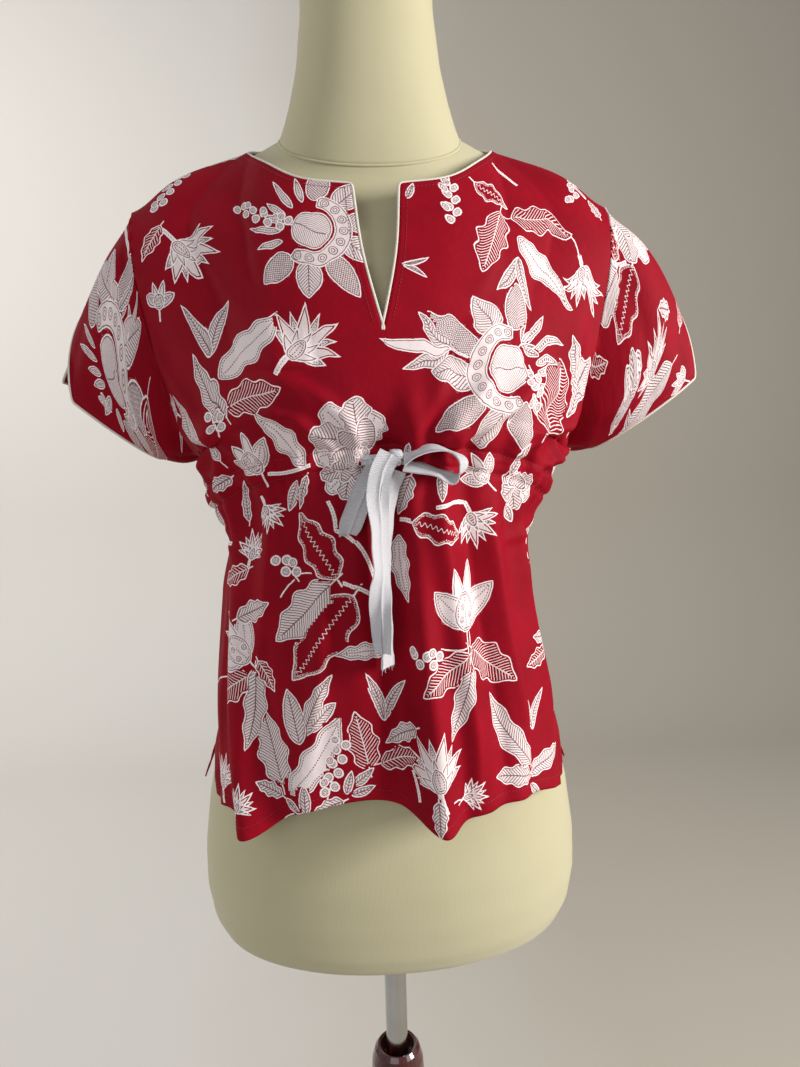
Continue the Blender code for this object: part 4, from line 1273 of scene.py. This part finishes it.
leftMotifs = {
    "veinLeaf": ((70, -8, 14, 61), (46, -78, 50, 24), (62, -122, 22, 82)),
    "vineLeaf": ((58, -23, 2, 62), (67, -5, 163, 31)),
    "stem": ((54, -1, -121, 36), (73, 2, -126, 23)),
    "lotus": ((84, -92, 104, 44),),
    "outlineLeaf": ((158, 3, -140, 28), (36, -112, 150, 34)),
    "tulip": ((57, -160, 65, 21),),
    "smallLeaf": ((203, 4, 7, 24),),
    "blossom": ((118, -62, 90, 30),),
    "twinLeaves": ((116, -104, 70, 34),),
}


def motifRows(groups):
    return [(name, *row) for name, rows in groups.items() for row in rows]


def turnedRepeat(low, high, least):
    # The fabric's repeat turned half round, outside the stretch across that has its own motifs
    turned = [(name, -x, -y, turn + 180, size) for name, x, y, turn, size in motifRows(frontMotifs)]
    return [row for row in turned if row[2] > least and not low < row[1] < high]


# Cloth panels and sleeves

frontRows = motifRows(frontMotifs)
backRows = turnedRepeat(0, 0, -400)
backRows += [(name, x + 24, y - 330, turn, size) for name, x, y, turn, size in frontRows if 35 < y < 90]
rightRows = motifRows(rightMotifs) + turnedRepeat(-135, 35, -200)
leftRows = motifRows(leftMotifs) + turnedRepeat(25, 215, -200)
panelSetup = {
    "front": {"columns": 196, "rows": 204, "shapes": placedShapes(frontRows)},
    "back": {"columns": 180, "rows": 190, "shapes": placedShapes(backRows)},
    "right": {"columns": 132, "rows": 54, "shapes": placedShapes(rightRows)},
    "left": {"columns": 132, "rows": 54, "shapes": placedShapes(leftRows)},
}
panels = ["front_panel", "back_panel"]
# maker, piece, CAD node, side, setup, flat size, how it is held, what it rests on
sheetSetup = (
    (makePanel, "frontPanel", "front_panel", -1, "front", (0.45, 0.51), "gathered", ["form_torso"]),
    (makePanel, "backPanel", "back_panel", 1, "back", (0.46, 0.58), "gathered", ["form_torso"]),
    (makeSleeve, "sleeveRight", "sleeve_right", -1, "right", (0.44, 0.13), "hung", panels),
    (makeSleeve, "sleeveLeft", "sleeve_left", 1, "left", (0.44, 0.14), "hung", panels),
)
clothPoints = {}
for make, name, node, side, key, flatSize, held, rests in sheetSetup:
    piece, clothPoints[key], area = make(name, side, panelSetup[key], formTree, batikMaterial)
    rideRoot(piece, node)


# Tape, piping and stitches


def ringMesh(name, rings, places, material, closed=False):
    # Closed cross-sections joined from end to end; places holds one more column than the rings, for the seam
    count, around = rings.shape[:2]
    faces, corners = [], []
    for i in range(count if closed else count - 1):
        k = (i + 1) % count
        for j in range(around):
            n = (j + 1) % around
            faces.append((i * around + j, i * around + n, k * around + n, k * around + j))
            corners += [places[i, j], places[i, j + 1], places[i + 1, j + 1], places[i + 1, j]]
    if not closed:
        faces += loftFaces(count, around)[-2:]
        corners += [*places[0, :around][::-1], *places[count - 1, :around]]
    piece = addPiece(name, rings.reshape(-1, 3), faces, material)
    piece.data.set_sharp_from_angle(angle=math.radians(50))
    uv = piece.data.uv_layers.new(name="threadPlace")
    uv.data.foreach_set("uv", np.array(corners, np.float32).reshape(-1))
    return piece


def tubeMesh(name, path, radius, material, sides=12):
    # Round tube along a closed path; its frame is carried along and the leftover turn shared out
    ahead = unit(np.roll(path, -1, axis=0) - np.roll(path, 1, axis=0))
    side = unit(np.cross(ahead[0], np.array([0.31, 0.22, 0.92])))
    sidesAlong = [side]
    for direction in ahead[1:]:
        side = unit(side - direction * side.dot(direction))
        sidesAlong.append(side)
    sidesAlong = np.array(sidesAlong)
    other = np.cross(ahead, sidesAlong)
    last = unit(side - ahead[0] * side.dot(ahead[0]))
    left = math.atan2(last.dot(other[0]), last.dot(sidesAlong[0]))
    around = np.linspace(0, 2 * math.pi, sides + 1)
    turn = (around[:-1] - (left * np.arange(len(path)) / len(path))[:, None])[..., None]
    rings = path[:, None] + radius * (np.cos(turn) * sidesAlong[:, None] + np.sin(turn) * other[:, None])
    run = runAlong(np.concatenate([path, path[:1]]))
    places = np.stack(np.broadcast_arrays(run[:, None], around * radius), axis=-1)
    return ringMesh(name, rings, places, material, True)


tape = {
    "width": 0.0155,
    "exitWidth": 0.007,
    "thickness": 0.0009,
    "cup": 0.0009,
    "crease": 0.0010,
    "rib": 1.25,
    "pick": 0.55,
    "bead": 0.9,
    "selvedge": 7.0,
    "colour": (0.76, 0.745, 0.77),
    "shadow": (0.53, 0.515, 0.54),
    "hem": 0.0085,
}


def threadCoordinates(tree):
    # Along and across a tape or a bound edge, in millimetres
    return [value * 1000 for value in splitVector(tree, uvPlace(tree, "threadPlace"))[:2]]


def waves(value, pitch):
    return (value * (2 * math.pi / pitch)).maths("SINE")


def makeTwill():
    material, tree, shader = newMaterial("twillTape", 0.75, Sheen_Weight=0.15)
    along, across = threadCoordinates(tree)
    slant = across.fit(0.55, along) + noise(tree, objectPlace(tree), 900)
    rib = waves(slant, tape["rib"]).fit(0.5, 0.5)
    pick = waves(across, tape["pick"]).fit(0.5, 0.5)
    selvedge = abs(across) > tape["selvedge"]
    height = (selvedge * waves(along, tape["bead"])).fit(0.5, rib + pick * 0.35)
    shade = noise(tree, objectPlace(tree), 2600, 3.0).fit(0.30, rib * 0.7, clamp=True)
    feed(
        shader,
        Base_Color=mixColour(tree, shade, tape["shadow"], tape["colour"]),
        Normal=bump(tree, height, 0.9, 0.00030),
    )
    return material


def makeTape(name, route, width, material, foldRow=None, steps=14, hem=0.0):
    # Woven tape along its route, a little cupped, creased along its middle and rounded where it turns
    table = np.array(route, float)
    count = (len(table) - 1) * steps + 1
    rows = smoothLine(np.arange(len(table)), table, np.linspace(0, len(table) - 1, count))
    middle = rows[:, :3]
    ahead = unit(np.gradient(middle, axis=0))
    across = rows[:, 3:]
    across = unit(across - ahead * (across * ahead).sum(axis=1, keepdims=True))
    thin = np.cross(ahead, across)
    run = runAlong(middle)
    half = np.full(count, width / 2)
    if foldRow:
        half *= 1 - 0.20 * bell((run - run[foldRow * steps]) / 0.004)
    u = np.linspace(-1, 1, 15)
    chance = np.random.default_rng(len(name))
    wave = 0.00035 * np.sin(run[:, None] * 260 + chance.uniform(0, 6) + 2.2 * u) * np.abs(u)
    rise = tape["cup"] * (u**2 - 0.4) * width / 0.0155 + tape["crease"] * bell((u - 0.1) / 0.10) + wave
    aside = across[:, None] * (u * half[:, None])[..., None]
    sheet = middle[:, None] + aside + thin[:, None] * rise[..., None]
    doubled = easeIn((run - run[-1] + hem) / 0.0008) if hem else np.zeros(count)
    thick = (tape["thickness"] / 2 * (1 + 0.9 * doubled))[:, None, None]
    face = (sheet + thin[:, None] * thick)[:, ::-1]
    rings = np.concatenate([sheet - thin[:, None] * thick, face], axis=1)
    side = np.concatenate([u, u[::-1], u[:1]]) * width / 2
    places = np.stack(np.broadcast_arrays(run[:, None], side), axis=-1)
    piece = ringMesh(name, rings, places, material)
    seamRow = np.argmin(np.abs(run - run[-1] + hem * 0.85))
    seam = sheet[seamRow, 1:-1] + thin[seamRow] * tape["thickness"]
    return piece, middle, run[-1], (seam, sheet[-1], ahead[-1])


twill = makeTwill()
knot = {"place": (0.0040, -0.1278, 1.2083), "size": (0.0068, 0.0052, 0.0066)}
# x, y, z and the direction across the tape
loopRightRoute = (
    (-0.0065, -0.1275, 1.2045, 0.60, 0.05, -0.60), (-0.0125, -0.1290, 1.1950, 0.75, 0.05, -0.50),
    (-0.0200, -0.1310, 1.1805, 0.90, 0.05, -0.30), (-0.0268, -0.1320, 1.1640, 0.97, 0.05, 0.05),
    (-0.0302, -0.1305, 1.1562, 0.97, 0.00, 0.16), (-0.0275, -0.1280, 1.1635, 0.97, 0.05, 0.05),
    (-0.0205, -0.1262, 1.1795, 0.90, 0.05, -0.30), (-0.0135, -0.1240, 1.1950, 0.75, 0.05, -0.50),
)
loopLeftRoute = (
    (0.0112, -0.1310, 1.2075, 0.10, 0.80, 0.55), (0.0200, -0.1340, 1.2118, 0.00, 0.92, 0.30),
    (0.0320, -0.1360, 1.2150, -0.05, 0.95, 0.20), (0.0440, -0.1370, 1.2118, -0.15, 0.95, 0.15),
    (0.0520, -0.1370, 1.2035, 0.45, 0.85, 0.25), (0.0465, -0.1365, 1.1948, 0.50, 0.75, 0.42),
    (0.0340, -0.1350, 1.1985, 0.10, 0.93, 0.28), (0.0215, -0.1325, 1.2022, 0.05, 0.88, 0.42),
    (0.0120, -0.1305, 1.2045, 0.10, 0.75, 0.60),
)
tailFrontRoute = (
    (0.0015, -0.1341, 1.2125, 0.88, 0.00, -0.48), (-0.0052, -0.1362, 1.2000, 0.95, 0.00, -0.30),
    (-0.0085, -0.1385, 1.1830, 1.00, 0.10, 0.00), (-0.0078, -0.1405, 1.1660, 0.85, 0.52, 0.00),
    (-0.0080, -0.1425, 1.1480, 0.74, 0.66, 0.05), (-0.0076, -0.1442, 1.1300, 0.74, 0.66, 0.15),
    (-0.0088, -0.1448, 1.1180, 0.95, 0.30, 0.15), (-0.0092, -0.1450, 1.1060, 0.98, -0.10, 0.05),
    (-0.0085, -0.1452, 1.0900, 0.90, -0.40, 0.00), (-0.0076, -0.1455, 1.0720, 0.75, -0.62, 0.00),
)
tailBackRoute = (
    (0.0055, -0.1302, 1.2004, 0.90, 0.30, -0.05), (0.0000, -0.1330, 1.1850, 0.78, 0.60, -0.05),
    (-0.0035, -0.1348, 1.1600, 0.66, 0.74, 0.00), (-0.0056, -0.1368, 1.1300, 0.60, 0.80, 0.00),
    (-0.0054, -0.1386, 1.1000, 0.60, 0.80, 0.00), (-0.0052, -0.1408, 1.0600, 0.55, 0.83, 0.00),
)
exitRightRoute = (
    (-0.0185, -0.1207, 1.2070, 0, 0, 1), (-0.0120, -0.1228, 1.2075, 0, 0.1, 1),
    (-0.0035, -0.1250, 1.2082, 0, 0, 1),
)
exitLeftRoute = (
    (0.0245, -0.1218, 1.2050, 0, 0, 1), (0.0190, -0.1236, 1.2058, 0, 0.1, 1),
    (0.0103, -0.1252, 1.2070, 0, 0, 1),
)


def makeKnot():
    # Two wraps of the tape drawn tight, on a rounded body
    rows, around = 34, 44
    v = np.linspace(0.03, math.pi - 0.03, rows)[:, None]
    w = -np.linspace(0, 2 * math.pi, around + 1)[None, :-1]
    x = rounded(np.sin(v), 0.75) * rounded(np.cos(w), 0.8)
    y = rounded(np.sin(v), 0.75) * rounded(np.sin(w), 0.8)
    z = rounded(np.cos(v), 0.8) * np.ones_like(w)
    points = np.stack([x, y, z], axis=-1)
    slant = points[..., 0] * 0.55 + points[..., 2] * 0.85
    groove = 0.16 * bell((slant - 0.38) / 0.10) + 0.12 * bell((slant + 0.42) / 0.09)
    folds = 0.03 * np.sin(slant * 24 + points[..., 1] * 5)
    points *= (1 - groove + folds)[..., None]
    points[..., 0] += 0.18 * points[..., 2]
    rings = points * np.array(knot["size"]) + np.array(knot["place"])
    run = np.linspace(0, 2, rows)[:, None] * knot["size"][2]
    places = np.stack(np.broadcast_arrays(run, np.linspace(0, 0.034, around + 1) - 0.017), axis=-1)
    return ringMesh("tieKnot", rings, places, twill)


rideRoot(makeKnot(), "tie_knot")
for name, route, node in (
    ("tieExitRight", exitRightRoute, "tie_exit_right"),
    ("tieExitLeft", exitLeftRoute, "tie_exit_left"),
):
    rideRoot(makeTape(name, route, tape["exitWidth"], twill)[0], node)
tailEnds = []
cordSetup = (
    ("tieLoopRight", loopRightRoute, "tie_loop_right", "object", 4),
    ("tieLoopLeft", loopLeftRoute, "tie_loop_left", "object", None),
    ("tieTailFront", tailFrontRoute, "tie_tail_front", "bare", None),
    ("tieTailBack", tailBackRoute, "tie_tail_back", "bare", None),
)
for name, route, node, farEnd, foldRow in cordSetup:
    steps, hem = (60, tape["hem"]) if farEnd == "bare" else (14, 0.0)
    piece, path, length, end = makeTape(name, route, tape["width"], twill, foldRow, steps, hem)
    if farEnd == "bare":
        tailEnds.append(end)
    rideRoot(piece, node)
print("tape bow made")


# Short loose threads at the cut ends of the tape
fray = {"radius": 0.00018, "count": 13, "least": 0.0012, "most": 0.0042, "rings": 7, "sides": 5, "seed": 5}


def makeFrays(name, ends, material):
    chance = np.random.default_rng(fray["seed"])
    count, rings, sides = fray["count"], fray["rings"], fray["sides"]
    points, faces = [], []
    turn = -np.linspace(0, 2 * math.pi, sides + 1)[:-1]
    ring = np.stack([np.cos(turn), np.sin(turn), 0.25 * np.sin(turn)], axis=1)
    for _, edge, ahead in ends:
        for start in alongLine(edge, np.linspace(0.04, 0.96, count) + chance.uniform(-0.02, 0.02, count)):
            length = chance.uniform(fray["least"], fray["most"])
            drift = chance.normal(0, 0.35, 3)
            first = len(points)
            for t in np.linspace(0, 1, rings):
                middle = start - ahead * 0.0006 + (ahead * t + drift * t * t * 0.7) * length
                points += (middle + fray["radius"] * (1 - 0.5 * t) * ring).tolist()
            faces += [tuple(first + corner for corner in face) for face in loftFaces(rings, sides)]
    rideRoot(addPiece(name, points, faces, material))


makeFrays("tapeFrays", tailEnds, twill)

piping = {
    "radius": 0.00105,
    "off": 0.0003,
    "under": 0.0006,
    "colour": (0.80, 0.745, 0.655),
    "shadow": (0.62, 0.555, 0.47),
}


def makePipingMaterial():
    material, tree, shader = newMaterial("creamPiping", 0.8, Sheen_Weight=0.1)
    along, around = threadCoordinates(tree)
    weave = (waves(along + around, 0.5) | waves(along - around, 0.5)).fit(0.5, 0.5)
    height = waves(along, 2.6).fit(0.5, weave)
    shade = noise(tree, objectPlace(tree), 140, 3.0).fit(0.6, weave * 0.5, clamp=True)
    feed(
        shader,
        Base_Color=mixColour(tree, shade, piping["shadow"], piping["colour"]),
        Normal=bump(tree, height, 0.6, 0.00015),
    )
    return material


def edgeTube(name, edge, inner, axis, material):
    # Bound edge: the tube takes in the cloth's edge
    outward = unit(edge - inner)
    ahead = unit(np.roll(edge, -1, axis=0) - np.roll(edge, 1, axis=0))
    normal = unit(np.cross(ahead, outward))
    normal *= np.where((normal * (edge - axis)).sum(axis=1) < 0, -1, 1)[:, None]
    path = edge + outward * piping["off"] - normal * piping["under"]
    near = 0.25 * np.roll(path, 1, axis=0) + 0.5 * path + 0.25 * np.roll(path, -1, axis=0)
    return tubeMesh(name, near, piping["radius"], material)


def neckPiping(material):
    # Down one edge of the slit reversed, round the neck over the back and down the other edge
    front, back = clothPoints["front"], clothPoints["back"]
    half, backHalf = (panelSetup[key]["columns"] // 2 for key in ("front", "back"))
    reach, backReach = (int(round(neckShare * columns)) for columns in (half, backHalf))
    rows = np.arange(int(math.ceil(cloth["slitEnd"] * panelSetup["front"]["rows"])), 0, -1)
    columns = np.arange(half, half - reach, -1)
    others = (2 * half + 1 - columns)[::-1]
    backColumns = np.arange(backHalf - backReach, backHalf + backReach + 2)
    backColumns = np.delete(backColumns, [backReach, backReach + 1])
    edge, inner = (
        np.concatenate([
            front[rows, half - aside], front[below, columns], back[below, backColumns],
            front[below, others], front[rows[::-1], half + 1 + aside],
        ])
        for below, aside in ((0, 0), (3, 4))
    )
    return edgeTube("neckPiping", edge, inner, edge * np.array([0, 0, 1]), material)


def cuffPiping(name, points, material):
    rows, columns = points.shape[0] - 1, points.shape[1] - 1
    first = int(round(sleeveSlit["start"] * rows))
    down = np.arange(first, rows)
    around = np.arange(0, columns + 1)
    edge = np.concatenate([points[down, 0], points[rows, around], points[down[::-1], columns]])
    inner = np.concatenate([points[down, 4], points[rows - 4, around], points[down[::-1], columns - 4]])
    middles = points.mean(axis=1)
    axis = middles[np.concatenate([down, np.full(columns + 1, rows), down[::-1]])]
    return edgeTube(name, edge, inner, axis, material)


pipingMaterial = makePipingMaterial()
rideRoot(neckPiping(pipingMaterial), "neck_piping")
rideRoot(cuffPiping("cuffPipingRight", clothPoints["right"], pipingMaterial), "cuff_piping_right")
rideRoot(cuffPiping("cuffPipingLeft", clothPoints["left"], pipingMaterial), "cuff_piping_left")
rideRoot(tubeMesh("formSeam", neckRings[0] + np.array([0, 0, -0.0003]), 0.0012, jersey))
print("piping made")


# Stand: chromed pole, turned column and base in dark red lacquer
stand = {
    "steel": (0.560, 0.555, 0.545),
    "steelDull": (0.380, 0.375, 0.365),
    "lacquer": (0.085, 0.010, 0.009),
    "lacquerDeep": (0.032, 0.004, 0.004),
    "grain": (38, 38, 5),
}


def makeChrome():
    material, tree, shader = newMaterial("chromedSteel", 0.15, Metallic=1.0)
    place = objectPlace(tree)
    smear = noise(tree, place, 22, 4.0)
    feed(
        shader,
        Base_Color=mixColour(tree, smear, stand["steelDull"], stand["steel"]),
        Roughness=smear.fit(0.26, 0.05),
        Normal=bump(tree, noise(tree, place, 1500), 0.08, 0.0001),
    )
    return material


def makeLacquer():
    # Wood grain seen through the lacquer, its brushed surface and a little dust
    material, tree, shader = newMaterial("redLacquer", 0.30, Coat_Weight=0.7, Coat_Roughness=0.07)
    place = objectPlace(tree)
    long = addNode(tree, "ShaderNodeVectorMath", {0: place, 1: stand["grain"]}, operation="MULTIPLY")
    grain = noise(tree, long.outputs["Vector"], 3, 5.0, 0.62)
    brushed = noise(tree, place, 190)
    speck = (noise(tree, place, 900, 3.0, 0.7) - 0.66).maths("MULTIPLY", 2.0, clamp=True)
    streak = (grain - 0.32).maths("MULTIPLY", 2.6, clamp=True)
    wood = mixColour(tree, streak, stand["lacquerDeep"], stand["lacquer"])
    feed(
        shader,
        Base_Color=mixColour(tree, speck, wood, (0.30, 0.26, 0.24)),
        Roughness=brushed.fit(0.22, 0.18),
        Normal=bump(tree, brushed, 0.10, 0.0004),
    )
    return material


lacquer = makeLacquer()
for node, material in (("pole", makeChrome()), ("stand_column", lacquer), ("stand_base", lacquer)):
    for place in bpy.data.objects[node].material_slots:
        place.material = material
print("stand finished")


# sizes are the pitch, length and radius of the stitches
stitching = {
    "sizes": (0.0028, 0.0019, 0.00026),
    "tapeSizes": (0.0019, 0.0014, 0.0002),
    "colour": (0.30, 0.006, 0.02),
    "shadow": (0.20, 0.002, 0.010),
    "lift": 0.00015,
}


def makeStitchTool(material):
    # Stitches laid end to end along a line of points
    tree = bpy.data.node_groups.new("stitchLine", "GeometryNodeTree")
    tree.interface.new_socket("Geometry", in_out="INPUT", socket_type="NodeSocketGeometry")
    keys = [
        tree.interface.new_socket(label, in_out="INPUT", socket_type="NodeSocketFloat").identifier
        for label in ("Pitch", "Length", "Radius")
    ]
    tree.interface.new_socket("Geometry", in_out="OUTPUT", socket_type="NodeSocketGeometry")

    def add(kind, inputs=None, **settings):
        return addNode(tree, kind, inputs, **settings).outputs

    given = add("NodeGroupInput")
    curve = add("GeometryNodeMeshToCurve", {"Mesh": given["Geometry"]})
    spaced = add("GeometryNodeResampleCurve", {"Curve": curve[0], "Length": given["Pitch"]}, mode="LENGTH")
    turn = add("FunctionNodeAlignRotationToVector", {"Vector": add("GeometryNodeInputTangent")[0]}, axis="Z")
    thread = add("GeometryNodeMeshCylinder", {
        "Vertices": 6, "Side Segments": 3, "Radius": given["Radius"], "Depth": given["Length"],
    })
    x, y, z = splitVector(tree, add("GeometryNodeInputPosition")[0])
    share = z / Value(given["Length"])
    share = share * share * -2.4
    offset = add("ShaderNodeCombineXYZ", {0: x * share, 1: y * share})
    bulge = add("GeometryNodeSetPosition", {"Geometry": thread["Mesh"], "Offset": offset[0]})
    place = add("GeometryNodeInstanceOnPoints", {
        "Points": spaced[0], "Instance": bulge[0], "Rotation": turn[0],
    })
    whole = add("GeometryNodeRealizeInstances", {0: place[0]})
    coloured = add("GeometryNodeSetMaterial", {"Geometry": whole[0], "Material": material})
    add("NodeGroupOutput", {0: coloured[0]})
    return tree, keys


def stitchPiece(name, lines, tool, sizes=stitching["sizes"]):
    points = np.concatenate(lines)
    edges = []
    start = 0
    for line in lines:
        edges += [(start + i, start + i + 1) for i in range(len(line) - 1)]
        start += len(line)
    mesh = bpy.data.meshes.new(name + "Line")
    mesh.from_pydata(points.tolist(), edges, [])
    guide = linkPiece(name + "Line", mesh)
    modifier = guide.modifiers.new("Stitches", "NODES")
    modifier.node_group, keys = tool
    for key, value in zip(keys, sizes):
        modifier[key] = value
    bpy.context.view_layer.update()
    made = bpy.data.meshes.new_from_object(guide.evaluated_get(bpy.context.evaluated_depsgraph_get()))
    made.name = name
    made.shade_smooth()
    bpy.data.objects.remove(guide)
    rideRoot(linkPiece(name, made))


def panelStitches(points, facing, setup):
    # Lines of stitches along the casing, the hem, the vents and the neck
    rows, columns = setup["rows"], setup["columns"]
    half = columns // 2
    lifted = points + panelNormals(points, facing, columns) * stitching["lift"]
    keep = np.delete(np.arange(columns + 2), half)
    casing, length = cloth["casing"], cloth["length"]
    lines = [
        lifted[int(round(share * rows)), keep]
        for share in (
            casing - creases["casingHalf"] / length, casing + creases["casingHalf"] / length,
            1 - creases["hemBand"] / length,
        )
    ]
    vent = np.arange(int(math.ceil(cloth["ventTop"] * rows)), rows)
    lines += [lifted[vent, column] for column in (3, columns - 2)]
    neck = int(round(neckShare * half)) - 2
    if facing < 0:
        last = int(cloth["slitEnd"] * rows) - 1
        for column, toSide in ((half - 2, -1), (half + 3, 1)):
            lines.append(lifted[np.arange(2, last), column])
            lines.append(lifted[2, np.arange(column, column + toSide * (neck - 2), toSide)])
    else:
        lines.append(lifted[2, np.arange(half - neck, half + neck + 2)])
    return lines


def sleeveStitches(points, side):
    lifted = points + gridNormals(points, -side) * stitching["lift"]
    rows = points.shape[0] - 1
    first = int(round(sleeveSlit["start"] * rows)) + 2
    return [lifted[rows - 2, 3:-3], lifted[first:rows - 1, 3], lifted[first:rows - 1, -4]]


threadMaterial, threadTree, threadShader = newMaterial("crimsonThread", 0.55, Sheen_Weight=0.1)
threadShade = noise(threadTree, objectPlace(threadTree), 4000)
feed(threadShader, Base_Color=mixColour(threadTree, threadShade, stitching["shadow"], stitching["colour"]))
stitchTool = makeStitchTool(threadMaterial)
stitchPiece("frontStitches", panelStitches(clothPoints["front"], -1, panelSetup["front"]), stitchTool)
stitchPiece("backStitches", panelStitches(clothPoints["back"], 1, panelSetup["back"]), stitchTool)
stitchPiece("tapeStitches", [end[0] for end in tailEnds], makeStitchTool(twill), stitching["tapeSizes"])
stitchPiece("rightStitches", sleeveStitches(clothPoints["right"], -1), stitchTool)
stitchPiece("leftStitches", sleeveStitches(clothPoints["left"], 1), stitchTool)
print("stitches made")


# Floor, backdrop and soft studio light

studio = {
    # left is the lit colour of the floor and backdrop, right the painted shade they darken to towards the
    # right
    "left": (0.62, 0.595, 0.56),
    "right": (0.45, 0.41, 0.345),
    "front": -6.0,
    "wallBack": 2.7,
    "bend": 0.8,
    "side": 7.0,
    "top": 5.0,
    "world": (0.86, 0.88, 0.92),
    "worldStrength": 0.34,
}


def makeStudio():
    material, tree, shader = newMaterial("paleFloor", 0.9)
    place = objectPlace(tree)
    # The floor and backdrop darken towards the right with a little random change: painted shade, not a second
    # paint colour
    paintedShadeToRight = noise(tree, place, 3, 3.0).fit(0.2, splitVector(tree, place)[0] + 0.30)
    paintedShadeToRight = paintedShadeToRight.maths("MULTIPLY", 1.1, clamp=True).maths("SMOOTH_MIN", 1.0, 0.4)
    feed(shader, Base_Color=mixColour(tree, paintedShadeToRight, studio["left"], studio["right"]))
    wall, bend = studio["wallBack"], studio["bend"]
    turns = np.linspace(0.1, math.pi / 2, 12)
    profile = [(studio["front"], 0.0), (wall - bend, 0.0)]
    profile += [(wall - bend + bend * math.sin(turn), bend - bend * math.cos(turn)) for turn in turns]
    profile.append((wall, studio["top"]))
    points = [(x, y, z) for y, z in profile for x in (-studio["side"], studio["side"])]
    faces = [(2 * i, 2 * i + 1, 2 * i + 3, 2 * i + 2) for i in range(len(profile) - 1)]
    addPiece("floor", points, faces, material)
    world = bpy.data.worlds.new("studioWorld")
    scene.world = world
    world.use_nodes = True
    feed(world.node_tree.nodes["Background"], Color=studio["world"], Strength=studio["worldStrength"])


def addLight(name, place, target, size, power, colour):
    data = bpy.data.lights.new(name, "AREA")
    data.shape = "RECTANGLE"
    data.size, data.size_y = size
    data.energy = power
    data.color = colour
    light = bpy.data.objects.new(name, data)
    light.location = place
    light.rotation_mode = "QUATERNION"
    light.rotation_quaternion = (Vector(target) - Vector(place)).to_track_quat("-Z", "Y")
    scene.collection.objects.link(light)


makeStudio()
lights = (
    ("windowRight", (1.95, -0.85, 1.75), (0.0, 0.0, 1.15), (0.5, 0.8), 64, (1.0, 0.975, 0.94)),
    ("softFront", (-0.9, -2.2, 1.8), (0.0, 0.0, 1.1), (1.6, 1.6), 14, (0.97, 0.98, 1.0)),
    ("wallLeft", (-2.1, 0.8, 2.2), (-0.8, 2.7, 1.3), (1.4, 2.0), 46, (1.0, 0.98, 0.95)),
)
for setup in lights:
    addLight(*setup)
scene.view_settings.view_transform = "Standard"
print("studio made")
